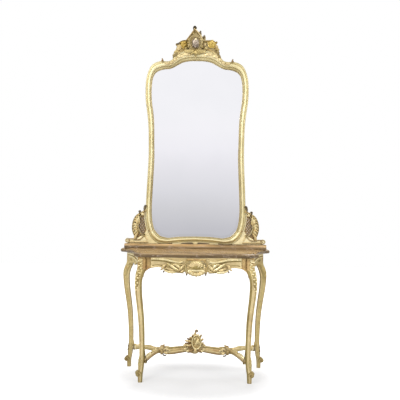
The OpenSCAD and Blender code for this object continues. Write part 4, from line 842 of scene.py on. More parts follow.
def side_apron(bm):
    front, back = -125.0, 140.0
    sx, bx = 323.0, 428.0
    face = smooth([[348 + 19, front], [mix(sx, bx, 0.16) + 40, mix(front, back, 0.34)],
                   [mix(sx, bx, 0.52) + 40, mix(front, back, 0.7)], [453 + 19, back]], 10)
    edge = smooth([[0, 92], [0.12, 71], [0.35, 64], [0.65, 64], [0.88, 71], [1, 92]], 8)
    rings = []
    for x, y in face:
        low = UNDER - look_up((y - front) / (back - front), edge)
        rings.append([(x - 26 + o - (2 if o > 30 else 0), y, z) for o, z in apron_section(26, low)])
    skinned(bm, rings)
    for f in bm.faces:
        if f.calc_center_median().z > UNDER - 11:
            f.material_index = 1

    def face_x(y):
        return look_up(y, [[q, p] for p, q in face])

    # the swept mouldings that fall across the panel
    for run, wide, high, tone in (
            ([[-120, 756], [-90, 761], [-40, 774], [20, 787], [80, 795], [134, 797]], 6, 8, 1),
            ([[-60, 744], [-20, 750], [40, 766], [90, 778], [134, 782]], 4.5, 6, 1),
            ([[-120, 745], [-80, 750], [-30, 763], [30, 777], [90, 787], [134, 790]], 3.75, 2.5, 2)):
        path = [(face_x(y) - 0.5, y, z) for y, z in even(smooth(run, 6), 40)]
        w = swell(len(path), 0.7, 0.7)
        skin(bm, tone, sweep(path, ROLL, (1, 0, 0), [wide * k for k in w], [high * k for k in w]))
    for y, z, dy, dz in ((-70, 745, 34, -12), (-40, 752, -34, 10), (60, 748, -34, -8), (95, 745, 30, 10)):
        x0, x1 = face_x(y), face_x(y + dy)
        leaf(bm, 0, [(x0, y, z), ((x0 + x1) / 2 + 4, y + dy * 0.5, z + dz * 0.9), (x1 + 1, y + dy, z + dz)], 22,
             (1, 0, 0), 3, 0.45, 4, 2.4, 14)


carved("front_apron", front_apron, "pale rust matt burnished")
pair("apron", side_apron, "leaf burnished matt")


# Shell and sprays on the front apron

SHELL_BACK = -188.3
SHELL_Z = 738.0


def apron_shell(bm):
    y = SHELL_BACK
    outline = []
    for j in range(72):
        t = 2 * pi * j / 72
        r = 1 + 0.05 * cos(9 * t + pi / 2) - 0.08 * cos(3 * t - pi / 2)
        outline.append((71 * r * cos(t) * 0.9, SHELL_Z + 52 * r * sin(t) * 0.92))
    slab(bm, 5, outline, y - 4, y, 1.2)
    fan(bm, 1, (0, y - 3.5, 746), 9, 50, 8, 164, 9, 9, 0.6, 0.74)
    dome(bm, 2, (0, y - 6, 745), FORWARD, 38, 11, 5, 4, 24)
    for i in range(5):
        x = 14 + 9 * i
        strap(bm, i % 2 * 2, [[x - 6, 742], [x + 2, 752], [x + 6, 764]], y - 8, 4.5, 4, ROLL, (0.5, 0.5), 12)
    strap(bm, 0, [[x, 728 - 4 * cos(x / 44 * pi / 2)] for x in range(-46, 47, 4)], y - 5, 12, 8, ROLL, (0.6, 0.6), 40)
    # the ruffled rim, lobe by lobe
    for i in range(11):
        a = radians(200 + i * 14)
        high = 0.78 if i % 2 else 0.78 * 0.95
        knots = [(r * 1.02 * cos(a), y - h, 734 + high * r * sin(a)) for r, h in ((26, 4), (46.4, 11.5), (60, 5.5))]
        leaf(bm, i % 2, knots, 13.5, FORWARD, 0, 0, 4.5, 3, 12, base=0.5)
    for i in range(7):
        a = radians(216 + i * 18)
        dome(bm, 3, (44 * cos(a), y - 10, 730 + 30 * sin(a)), FORWARD, 4, 3.4, 4, 3, 10)
    for side in SIDES:
        # C-scrolls hold the shell at both sides, and ribs lie between them and the fan
        c = [[side * x, z] for x, z in smooth([[58, 782], [67, 768], [68, 750], [62, 732], [56, 716]], 6)]
        strap(bm, int(side > 0), two_curls(c, (6, 0.9, side), (7, 1.0, side)), y - 3.5, 9.5, 8, COVE, (0.6, 0.6), 60)
        for x0, z0, x1, z1 in ((44, 744, 58, 766), (46, 736, 61, 750), (44, 728, 59, 734)):
            tip(bm, 1, (side * x0, z0), (side * x1, z1), y, (-5, -11, -6), 10, 0, 0, 3.5, 2.4, 10, 6, 0.6,
                shift=(0, 0.05 * (z1 - z0)))
        leaf(bm, 4, [(side * 55, y - 3, 712), (side * 60, y - 8, 704), (side * 62, y - 5, 694)], 11, FORWARD, 0, 0,
             3, 2.4, 10)
    # the plain band over the shell
    strap(bm, 3, [[x, 794] for x in range(-60, 61, 6)], y - 2.5, 13, 3, ROLL, (0.9, 0.9), 30)


def apron_spray(bm):
    y = SHELL_BACK
    back = smooth([[74, 760], [100, 768], [140, 770], [170, 764], [196, 762], [212, 752], [213, 738], [200, 727],
                   [170, 718], [140, 713], [104, 710], [78, 712], [68, 730], [74, 760]], 4)[:-1]
    slab(bm, 4, back, y - 2, y, 0.8)
    # long flat leaves that lie over one another, from the shell outwards, dark gaps between them
    for tone, knots, wide, lobes in (
            (2, ((206, -5, 732), (192, -9, 722), (164, -9, 715), (128, -6, 713)), 15, 4),
            (0, ((228, -3, 727), (214, -8, 738), (206, -9, 752), (190, -6, 764)), 15, 3),
            (2, ((186, -5, 772), (172, -10, 764), (152, -11, 750), (132, -9, 737), (112, -6, 729)), 15, 5),
            (0, ((196, -5, 744), (178, -10, 737), (156, -9, 729), (140, -5, 727)), 14, 3),
            (2, ((146, -5, 766), (130, -10, 762), (112, -11, 750), (104, -6, 738)), 15, 3),
            (0, ((118, -5, 722), (104, -10, 730), (92, -11, 746), (72, -6, 764)), 15, 4),
            (0, ((104, -5, 714), (92, -8, 719), (78, -6, 728)), 12, 2)):
        leaf(bm, tone, near((0, y, 0), *knots), wide, FORWARD, lobes, 0.4, 4.2, 2.6, 8 * lobes)
    for x, z, rx, rz, start, stop, wide in ((200, 748, 15, 12, -150, 120, 6.5), (134, 751, 14, 12, -60, 210, 6.5),
                                            (94, 756, 9, 8, 30, 300, 5)):
        turns = [radians(mix(start, stop, i / 16)) for i in range(17)]
        strap(bm, 0, [[x + rx * cos(a), z + rz * sin(a)] for a in turns], y - 6, wide, 6.5, ROLL, (0.6, 0.6), 40)
    for x, z, r in ((192, 752, 4.5), (199, 743, 4.0), (168, 752, 5.5), (160, 745, 4.5), (131, 749, 4.5),
                    (118, 756, 4), (182, 729, 4), (106, 722, 3.5), (84, 738, 4)):
        dome(bm, 1, (x, y - 10, z), FORWARD, r, r * 0.8, 3, 3, 12)
    # a small drop that hangs below the spray's end
    dome(bm, 3, (207, y - 2, 716), FORWARD, 6, 7, 8, 4, 14)
    strap(bm, 5, [[x, 709 + 0.1 * (x - 100)] for x in range(76, 200, 4)], y - 2, 5, 5, ROLL, (0.5, 0.5), 60)


carved("apron_shell", apron_shell, "burnished pale matt rust dark leaf")
pair("apron_spray", apron_spray, "pale brown burnished dark leaf matt")


# Stretcher

ARM_W, ARM_T, HUB_W = 25.0, 28.0, 68.0
ARM_SECTION = both_ways([(1, -0.6), (1, 0.45), (0.86, 0.78), (0.6, 0.98), (0.3, 0.9)], (0, 0.76))
ARM_SECTION += [(-0.8, -0.9), (-0.4, -1), (0.4, -1), (0.8, -0.9)]
HUB, FORK = (HUB_W / 2, HUB_Y, HUB_Z), (FORK_X, HUB_Y, FORK_Z)


def foot_centre(back):
    (hx, hy), (sx, sy) = HEADS[back], SWINGS[back]
    return Vector((hx - 0.9 * ANKLE_IN * sx, hy - TURNS[back] * 0.9 * ANKLE_IN * sy))


def arm(bm, back):
    foot = foot_centre(back)
    lane = HUB_Y + TURNS[back] * (ARM_W + 0.3) / 2
    bend = [[1, 1, 0], [0.82, 0.9, 0.2], [0.56, 0.58, 0.75], [0.3, 0.2, 1], [0.14, 0.015, 1], [0.0, 0, 1]]
    knots = [[mix(FORK_X, foot.x, a), mix(lane, foot.y, b), ARM_H + 27 * c] for a, b, c in bend]
    path = [Vector(p) for p in even(smooth(knots, 9), 44)]
    start = next(i for i, p in enumerate(path) if (p.xy - foot).length > ANKLE_W / 2 - 1)
    path = path[start:]
    # the arm grows taller where it nears the fork
    heights = [ARM_T / 2 * (1 + 0.85 * max(0, 0.3 - (p.x - FORK_X) / (foot.x - FORK_X))) for p in path]
    # the shoulders of the section are painted pale as highlights, the groove along the top and the underside dark olive
    # as shade
    skinned(bm, sweep(path[::-1], ARM_SECTION, UP, ARM_W / 2, heights[::-1]),
            paint=lambda j: (2, 3, 3, 2, 4, 4, 2, 3, 3, 2)[j] if j < 10 else 4)

    def over(*steps):
        return [path[min(i, len(path) - 1)] + Vector((0, 0, up)) for i, up in steps]

    # acanthus on the back of the arm, curling up at its tip, and a volute under it by the leg
    leaf(bm, 5, over((2, 12), (7, 16), (11, 17), (15, 21)), 27, (0, -0.3, 1), 4, 0.5, 5)
    leaf(bm, 0, over((33, 13), (27, 16), (22, 16), (18, 14)), 24, UP, 3, 0.5, 4)
    way = path[6] - path[0]
    flat = Vector((way.x, way.y, 0)).normalized()
    across = Vector((-flat.y, flat.x, 0))
    centre = path[2] + Vector((0, 0, TURNS[back] * 15))
    spun = spiral(TURNS[back] * -pi / 2, TURNS[back] * 1.3, 10, 2.4, 30)
    band = [(9 * a, 2.2 * b) for a, b in ((-1, -1), (1, -1), (1, 0.8), (0, 0.5), (-1, 0.8))]
    rolled(bm, 0, [centre - flat * a + Vector((0, 0, b)) for a, b in spun], across, [band] * len(spun))
    for tone, first, last, grow in ((1, 1, 13, 3.0), (5, 14, 34, 2.0)) if back else ((1, 1, 10, 2.5),):
        cuff = [p for p in path if first < (p - path[0]).length < last]
        skin(bm, tone, sweep(cuff, ARM_SECTION, UP, ARM_W / 2 + grow, ARM_T / 2 + grow))


def stretcher_rail(bm):
    w0 = ARM_W + 0.15
    half = HUB_W / 2
    knots = [(half + 0.3, HUB_Z, 0.8, 0.7), (half + 10, HUB_Z - 1, 0.8, 0.7),
             (mix(half, FORK_X, 0.35), FORK_Z + 5, 0.88, 0.75), (mix(half, FORK_X, 0.68), FORK_Z - 3, 0.97, 0.8),
             (mix(half, FORK_X, 0.9), FORK_Z - 1, 1, 0.7), (FORK_X - 0.3, FORK_Z, 1, 0.68)]
    line = smooth([[x, HUB_Y, z, w0 * w, ARM_T * h] for x, z, w, h in knots], 9)
    section = both_ways([(1, -0.5), (1, 0.4), (0.94, 0.66), (0.8, 0.9), (0.6, 1.0), (0.38, 0.96), (0.18, 0.8),
                         (0.07, 0.58)]) + [(-0.5, -1), (0.5, -1)]
    skinned(bm, sweep([k[:3] for k in line], section, UP, [k[3] for k in line], [k[4] for k in line]))
    # beads along the top and the front, the front one pale as a painted highlight, the lower one brown as painted
    # shade: how far forward, up, the way they look, width, height, ends
    for tone, forward, off, up, out, wide, high, end in (
            (3, 0.66, 0, 0.99, (0, -0.5, 1), 6.5, 2.4, 1), (1, 1, 0.3, -0.1, FORWARD, 4.4, 3.4, 0.4),
            (2, 0.86, 0, -0.62, (0, -1, -0.4), 5, 2.2, 0.4)):
        bead = [[k[0], HUB_Y - forward * k[3] - off, k[2] + up * k[4]] for k in line[3:-8]]
        w = swell(len(bead), end, end)
        skin(bm, tone, sweep(bead, ROLL, out, [wide * k for k in w], [high * k for k in w]))
    # leaves that lie over both rolls by the hub, and the husk's long leaves, diagonally over the front roll
    for tone, at, knots, wide, out, *shape in (
            (1, HUB, ((2, -13, 22), (20, -13, 24), (42, -15.6, 18)), 22, (0, -0.25, 1), 4, 0.5, 4),
            (1, HUB, ((2, 13, 22), (20, 13, 24), (42, 15.6, 18)), 22, (0, -0.25, 1), 4, 0.5, 4),
            (1, HUB, ((2, -21, 4), (18, -25, -3), (40, -24, 3)), 26, (0, -1, 0.2), 4, 0.5, 4),
            (1, FORK, ((-16, -20, 17), (-40, -22, 14), (-66, -24, 3)), 24, (0, -0.7, 0.8), 4, 0.5, 5),
            (1, FORK, ((-16, 10, 20), (-40, 8, 22), (-64, 2, 20)), 22, (0, -0.2, 1), 4, 0.5, 4),
            (1, FORK, ((-16, -24, -4), (-30, -27, -9), (-46, -25, -16)), 18, FORWARD, 3, 0.5, 4),
            (4, FORK, ((-12, -20, -19), (-22, -23, -27), (-36, -20, -30)), 10, (0, -1, -0.3), 2, 0.3, 3, 2.4)):
        leaf(bm, tone, near(at, *knots), wide, out, *shape)
    # dark eyes between the leaves: dark domes painted as the shade in drilled hollows
    for x, z, r in ((194, 169, 5.5), (177, 167, 4.5), (206, 160, 3.5)):
        dome(bm, 4, (x, HUB_Y - 30, z), (0, -1, 0.2), r, r * 0.9, 3, 4, 14)


def stretcher_hub(bm):
    half = HUB_W / 2
    knots = [[half * a, HUB_Y, HUB_Z, ARM_W * 0.9 * w, ARM_T * h] for a, w, h in
             ((-1, 1, 0.74), (-0.5, 1.12, 0.76), (0, 1.18, 0.78), (0.5, 1.12, 0.76), (1, 1, 0.74))]
    line = smooth(knots, 7)
    skinned(bm, sweep([k[:3] for k in line], ARM_SECTION, UP, [k[3] for k in line], [k[4] for k in line]))


def husk(bm):
    """A ring of leaves bound by a roll, open through the middle for the arms."""
    x0 = FORK_X - 4
    n = 48
    wide, high = ARM_W + 0.45 + 2.0, ARM_T * 0.71 + 0.3 + 2.0

    def ring(x, more_y, more_z, roundness, wave):
        points = []
        for j in range(n):
            t = 2 * pi * j / n
            py, pz = block_point(t, roundness)
            k = 1 + wave * cos(12 * t)
            points.append((x, HUB_Y + (wide + more_y) * py * k, FORK_Z + (high + more_z) * pz * k))
        return points

    rings = []
    for i in range(13):
        flare = 1 - 0.12 * cos(2 * pi * (i / 12 - 0.5))
        rings.append(ring(x0 - 7 + 14 * i / 12, 3 * flare, 4 * flare, 0.4, 0.03))
    skinned(bm, rings + [ring(x, -2.6, -2.6, 0.1, 0) for x in (x0 + 7, x0 - 7)], shut=True)
    at = (x0, HUB_Y, FORK_Z)
    leaf(bm, 1, near(at, (-14, -29, 27), (4, -32, 22), (22, -24, 6)), 19, (0, -1, 0.4), 3, 0.5, 5)
    for tone, place, r, high_r, rise, rings, around in (
            (0, (25, -15, 11), 10, 12, 9, 5, 16), (2, (25, -23, 13), 4.5, 4.5, 3.5, 4, 12)):
        dome(bm, tone, near(at, place)[0], (0, -1, 0.2), r, high_r, rise, rings, around)
    top = (x0, HUB_Y, FORK_Z + high)
    for y in (-13, 13):
        leaf(bm, 0, near(top, (-4, y, 3), (6, y, 5), (8.8, y, -1)), 22, (0.2, 0, 1), 3, 0.5, 4, 2.4, 12)
        leaf(bm, 0, near(top, (2, y, 5), (-12, y, 9), (-22, y, 13)), 22, (-0.2, 0, 1), 3, 0.5, 4, 2.4, 12)
    front = (x0, HUB_Y - wide, FORK_Z)
    leaf(bm, 0, near(front, (3, -2.5, 12), (0, -5, -2), (-4, -2, -18)), 20, FORWARD, 3, 0.5, 4, 2.4, 12)


def stretcher_finial(bm):
    y = HUB_Y - ARM_W * 1.062 - 0.3
    cx, cz = 12.0, 226.0
    at = (cx, y, cz)
    plate = [[0, -50], [14, -48], [26, -40], [36, -34], [44, -22], [46, -6], [42, 10], [44, 24], [36, 38], [24, 50],
             [14, 62], [14, 76], [8, 88], [2, 93], [-4, 88], [-6, 74], [-16, 64], [-28, 54], [-38, 40], [-44, 24],
             [-50, 6], [-48, -12], [-46, -26], [-34, -38], [-20, -46]]
    slab(bm, 2, [[x, HUB_TOP + z] for x, z in smooth(plate + [plate[0]], 3)[:-1]], y - 9, y, 2.0)
    slab(bm, 0, [(-25.8, 196.3), (25.8, 196.3), (25.8, 236), (-25.8, 236)], y - 0.6, 30.6, 1)
    # the hollow oval in its raised frame, with a curled leaf lying in it
    dome(bm, 2, (cx, y - 8, cz), FORWARD, 28, 45, 7, 8, 36)
    oval_frame(bm, 1, (cx, y - 9, cz), 30, 46, 5.4, 9.5)
    for knots, wide in ((((-12, -8, -30), (-4, -17, -10), (8, -18, 8), (6, -12, 28)), 21),
                        (((14, -8, -22), (16, -17, -4), (10, -15, 14)), 15),
                        (((-14, -8, 2), (-14, -16, 18), (-4, -13, 34)), 15)):
        leaf(bm, 1, near(at, *knots), wide, FORWARD, 3, 0.5, 5, 3, 18)
    for p in near(at, (-2, -14, -14), (4, -14, 20), (-16, -14, -12)):
        dome(bm, 2, p, FORWARD, 4.5, 5.5, 4, 3, 12)
    # ribbed wing on the left, its ribs spreading from the frame
    for i, r in enumerate((58, 62, 70, 76, 78, 76, 70)):
        a = radians(122 + i * 16)
        knots = [(cx + 30 * cos(a), y - 8, cz + 44 * sin(a)),
                 (cx + mix(32, r, 0.5) * cos(a) - 4, y - 17, cz + mix(44, r * 0.86, 0.5) * sin(a)),
                 (max(-67, cx + r * cos(a) * 1.04), y - 10, cz + r * 0.8 * sin(a))]
        leaf(bm, 0 if i % 2 else 3, knots, 12.5 if i % 2 else 9, FORWARD, 0, 0, 5, 3, 14, base=0.5)
    # curls at both lower corners and leaf tips up the right side
    for knots in ([[40, 190], [50, 196], [53, 206]], [[-34, 190], [-46, 188], [-54, 180]]):
        strap(bm, 1, curl(knots, 8.0, 1.2, 1), y - 6, 9, 9, STEM, (0.7, 0.5), 44)
    for a, b in (((30, 258), (44, 279)), ((36, 238), (58, 252)), ((40, 216), (59, 226))):
        tip(bm, 2, a, b, y, (-9, -17, -11), 15, 2, 0.35, 4.5, 3, 14, shift=(2, -1))
    foot = (4, y, 0)
    for side in SIDES:
        leaf(bm, 3, [(side * 12 + 6, y - 9, 182), (side * 30 + 4, y - 17, 170), (side * 50, y - 8, 158)], 20, FORWARD,
             3, 0.55, 5, 3, 16)
        leaf(bm, 1, near((0, y, 0), (34, -9, 176), (46, -16, 166), (58, -6, 168), side=side), 12, FORWARD, 2, 0.4,
             4.5, 3, 14)
        leaf(bm, 0, near((5, y, 0), (6, -9, 268), (15, -15, 276), (22, -9, 270), side=side), 13, FORWARD, 2, 0.4, 4,
             3, 12)
    for p in near((cx, y, 0), (-14, -15, 178), (18, -15, 176)):
        dome(bm, 2, p, FORWARD, 5, 4, 4, 3, 12)
    leaf(bm, 0, near(foot, (0, -9, 184), (0, -18, 168), (0, -9, 150)), 24, FORWARD, 3, 0.45, 5, 3, 16)
    # the stem over the frame ends in a curl
    strap(bm, 0, [[6, 266], [3, 280], [4, 292]], y - 6, 15, 9, STEM, (0.9, 0.6), 24)
    strap(bm, 2, curl([[4, 288], [4, 297]], 9.5, 1.25, -1, 0.2, 24), y - 5, 8, 9, STEM, (0.9, 0.5), 40)
    left, right, top = -69.5, 61.5, 312.5        # the carving's bounds
    for v in bm.verts:
        v.co.x = max(left, min(right, v.co.x))
        v.co.z = min(top, v.co.z)


for hand in HANDS:
    for back, end in enumerate(ENDS):
        carved(f"{end}_{hand}_arm", arm, f"leaf dark {'leaf' if back else 'worn'} pale matt burnished", back,
               flip=hand == "left")
pair("stretcher_rail", stretcher_rail, "worn pale brown matt dark")
carved("stretcher_hub", stretcher_hub, "leaf")
pair("husk", husk, "worn pale dark")
carved("stretcher_finial", stretcher_finial, "pale burnished worn brown")


# Mirror frame

FOOT_X, WAIST_X, SHOULDER_X, FRAME_H, ARCH, FACE_W, FOOT_RISE = 353.0, 338.0, 365.0, 1372.0, 80.0, 45.0, 18.0
SHOULDER_Z = FRAME_H - ARCH
OUTER = [[0, FOOT_RISE], [0.31 * FOOT_X, 0.66 * FOOT_RISE], [0.5 * FOOT_X, 4], [0.6 * FOOT_X, 0.3], [0.7 * FOOT_X, 2.5],
         [0.78 * FOOT_X, 10], [0.9 * FOOT_X, 48], [0.975 * FOOT_X, 120], [FOOT_X, 0.131 * FRAME_H],
         [FOOT_X, 0.175 * FRAME_H], [mix(FOOT_X, WAIST_X, 0.12), 0.226 * FRAME_H],
         [mix(FOOT_X, WAIST_X, 0.55), 0.329 * FRAME_H], [WAIST_X, 0.437 * FRAME_H], [WAIST_X, 0.525 * FRAME_H],
         [mix(WAIST_X, SHOULDER_X, 0.14), 0.612 * FRAME_H], [mix(WAIST_X, SHOULDER_X, 0.5), 0.678 * FRAME_H],
         [mix(WAIST_X, SHOULDER_X, 0.88), 0.733 * FRAME_H], [SHOULDER_X, 0.784 * FRAME_H]]
OUTER += [[a * SHOULDER_X, SHOULDER_Z + b] for a, b in (
    (0.992, -142), (0.958, -84), (0.9, -38), (0.82, -13), (0.7, 0), (0.57, -1), (0.49, 0.15 * ARCH),
    (0.44, 0.48 * ARCH), (0.35, 0.82 * ARCH), (0.18, ARCH - 3), (0, ARCH))]
# the way to the sight edge from each knot, in widths of the face
LEAN = [[0, 0.76], [-0.11, 0.84], [-0.36, 0.89], [-0.45, 0.9], [-0.52, 0.98], [-0.5, 1.05], [-0.66, 1.04],
        [-0.93, 0.46], [-0.98, 0.13], [-0.93, 0], [-0.93, 0.02], [-0.93, 0.04], [-0.91, 0], [-0.87, -0.02],
        [-0.91, -0.08], [-0.98, -0.14], [-0.96, -0.1], [-0.95, -0.02], [-0.96, -0.2], [-0.92, -0.48], [-0.9, -0.88],
        [-0.98, -1.08], [-0.74, -1.22], [-0.28, -1.14], [-0.24, -1.2], [-0.49, -1.42], [-0.64, -1.58],
        [-0.36, -1.62], [0, -1.66]]
outer_line = smooth(OUTER, 8)
inner_line = smooth([[o[0] + a[0] * FACE_W, o[1] + a[1] * FACE_W] for o, a in zip(OUTER, LEAN)], 8)
CROWN = len(outer_line) - 1
FOOT_JOINT, HEAD_JOINT = 50, 162
# share of the width from the outside in, share of the thickness
MOULDING = [(1, 0.46), (0.985, 0.5), (0.962, 0.545), (0.93, 0.56), (0.905, 0.545), (0.885, 0.53), (0.85, 0.54),
            (0.81, 0.575), (0.775, 0.64), (0.75, 0.69), (0.735, 0.67), (0.722, 0.645), (0.71, 0.7), (0.69, 0.8),
            (0.655, 0.89), (0.605, 0.96), (0.545, 0.995), (0.49, 0.995), (0.43, 0.965), (0.375, 0.9),
            (0.335, 0.82), (0.315, 0.735), (0.3, 0.67), (0.285, 0.665), (0.27, 0.72), (0.25, 0.735), (0.225, 0.69),
            (0.19, 0.63), (0.155, 0.605), (0.12, 0.615), (0.08, 0.64), (0.045, 0.63), (0.018, 0.595), (0, 0.54)]
REBATE, REBATE_DEEP = 12.0, 15
FACE_Y = FRAME_BACK - FRAME_T


def frame_ring(i, side):
    o, n = outer_line[i], inner_line[i]
    r = 1 - REBATE / math.dist(o, n)
    raw = [(0, 0), (r, 0), (r, REBATE_DEEP), (1, REBATE_DEEP)] + [(s, h * FRAME_T) for s, h in MOULDING]
    return [(side * mix(o[0], n[0], s), FRAME_BACK - h, BASE + mix(o[1], n[1], s)) for s, h in raw]


def gilding_of(j):
    """The torus is burnished and painted lighter as its highlight; the hollows beside it and both edges are dull,
    painted darker as patina and as shade.
    """
    if j < 4:
        return 0
    s = MOULDING[min(j - 4, len(MOULDING) - 1)][0]
    if s > 0.9 or s < 0.04:
        return 4
    if s > 0.7 or s < 0.16:
        return 2
    return 1 if s > 0.3 else 0


def member(bm, runs, carving=None):
    """The moulding over runs of steps; each run has the side it lies on."""
    skinned(bm, [frame_ring(i, side) for steps, side in runs for i in steps], paint=gilding_of)
    if carving:
        carving(bm)


def head_carving(bm):
    for side in SIDES:
        # leaves that trail down the arch and a curled tip on each shoulder
        run = []
        for i in range(CROWN - 6, CROWN - 50, -4):
            o, n = outer_line[i], inner_line[i]
            run.append((side * mix(o[0], n[0], 0.45), BASE + mix(o[1], n[1], 0.45)))
        for k, wide in ((0, 25), (2, 25), (4, 23), (6, 20), (8, 16)):
            knots = [(x, FACE_Y + y, z + up) for (x, z), y, up in zip(run[k:k + 3], (3, -5, 0), (-5, 2, 5))]
            leaf(bm, 5, knots, wide, FORWARD, 3, 0.6, 5.5, 2.8)
        dome(bm, 2, (run[7][0], FACE_Y + 1, run[7][1] + 2), FORWARD, 4, 3, 3, 3, 12)
        at = (side * 0.68 * SHOULDER_X, FRAME_BACK, BASE + SHOULDER_Z)
        leaf(bm, 3, near(at, (-8, -33, -6), (-3, -40, 3), (2, -36, 16), side=side), 11, FORWARD, 2, 0.4, 3.5, 2.6, 14)
        curled = smooth([[-9, -5], [-6, 3], [-4, 8], [-2, 15], [2, 18], [5, 13], [4, 7], [7, 2], [9, -5]], 3)
        slab(bm, 3, [(at[0] + side * a, at[2] + b) for a, b in curled], FRAME_BACK - 34, FRAME_BACK - 25, 1)


def foot_filling():
    """Dark sheets painted as the shadow in the gaps under the frame's foot, on both sides of the middle of the filling
    and along the foot, and a pale upright on it.
    """
    bm = bmesh.new()
    y = FRAME_BACK - 4 - 0.8 * FRAME_T
    for side in SIDES:
        for y0, y1, outline in ((y - 0.8, y - 0.1, ((16, 0.6), (104, 0.6), (96, 7), (60, 11), (20, 12.5))),
                                (183, 190, ((104, 0.5), (332, 0.5), (332, 5), (104, 5)))):
            slab(bm, 0, [(side * x, BASE + z) for x, z in outline], y0, y1, 0)
    strap(bm, 1, [[0, BASE + 0.8], [0, BASE + 8], [0, BASE + 15]], y, 23, 5, ROLL, (1, 1), 8)
    piece("foot_filling_carved", bm, "dark frame_bright", [])


def mirror_plate():
    """The glass: a flat face with a low bevel, its edge in the rebate."""
    bm = bmesh.new()
    front = 179.644

    def ring(outward, y):
        half = []
        for o, n in zip(outer_line, inner_line):
            p = Vector(n) + (Vector(o) - Vector(n)).normalized() * outward
            half.append((p.x, y, BASE + p.y))
        return [(-x, y, z) for x, y, z in reversed(half)][:-1] + half[:-1]

    skinned(bm, [ring(10.5, front + 5), ring(10.5, front + 1), ring(-20, front)])
    piece("mirror_plate", bm, "mirror_finish", ["mirror_glass"], sharp=1.5)


MOULDED = "frame frame_bright frame_hollow brown sight_edge pale"
STILE = range(FOOT_JOINT, HEAD_JOINT + 1)
HEAD = range(HEAD_JOINT, CROWN + 1)
FOOT = range(FOOT_JOINT + 1)
carved("bottom_rail", member, MOULDED, [(FOOT[:0:-1], -1), (FOOT, 1)], sharp=80)
foot_filling()
carved("right_stile", member, MOULDED, [(STILE, 1)], sharp=80)
carved("left_stile", member, MOULDED, [(STILE[::-1], -1)], sharp=80)
carved("top_rail", member, MOULDED, [(HEAD, 1), (HEAD[-2::-1], -1)], head_carving, sharp=80)
mirror_plate()


# Brackets beside the frame's foot

BRACKET_BACK, BRACKET_T = 187.0, 22.0


def b_point(x, z):
    """A point of the bracket from shares of its width and height."""
    return [FOOT_X + x * 100, BASE + z * 270]


@toned
def band(bm, flat, wide, y0, y1):
    """A flat strip with eased edges that follows a line, from y0 forward to y1."""
    section = [(1, 0), (1, 0.9), (0.85, 1), (-0.85, 1), (-1, 0.9), (-1, 0)]
    skinned(bm, sweep([(x, y0, z) for x, z in even(flat, 60)], section, FORWARD, wide / 2, y0 - y1))


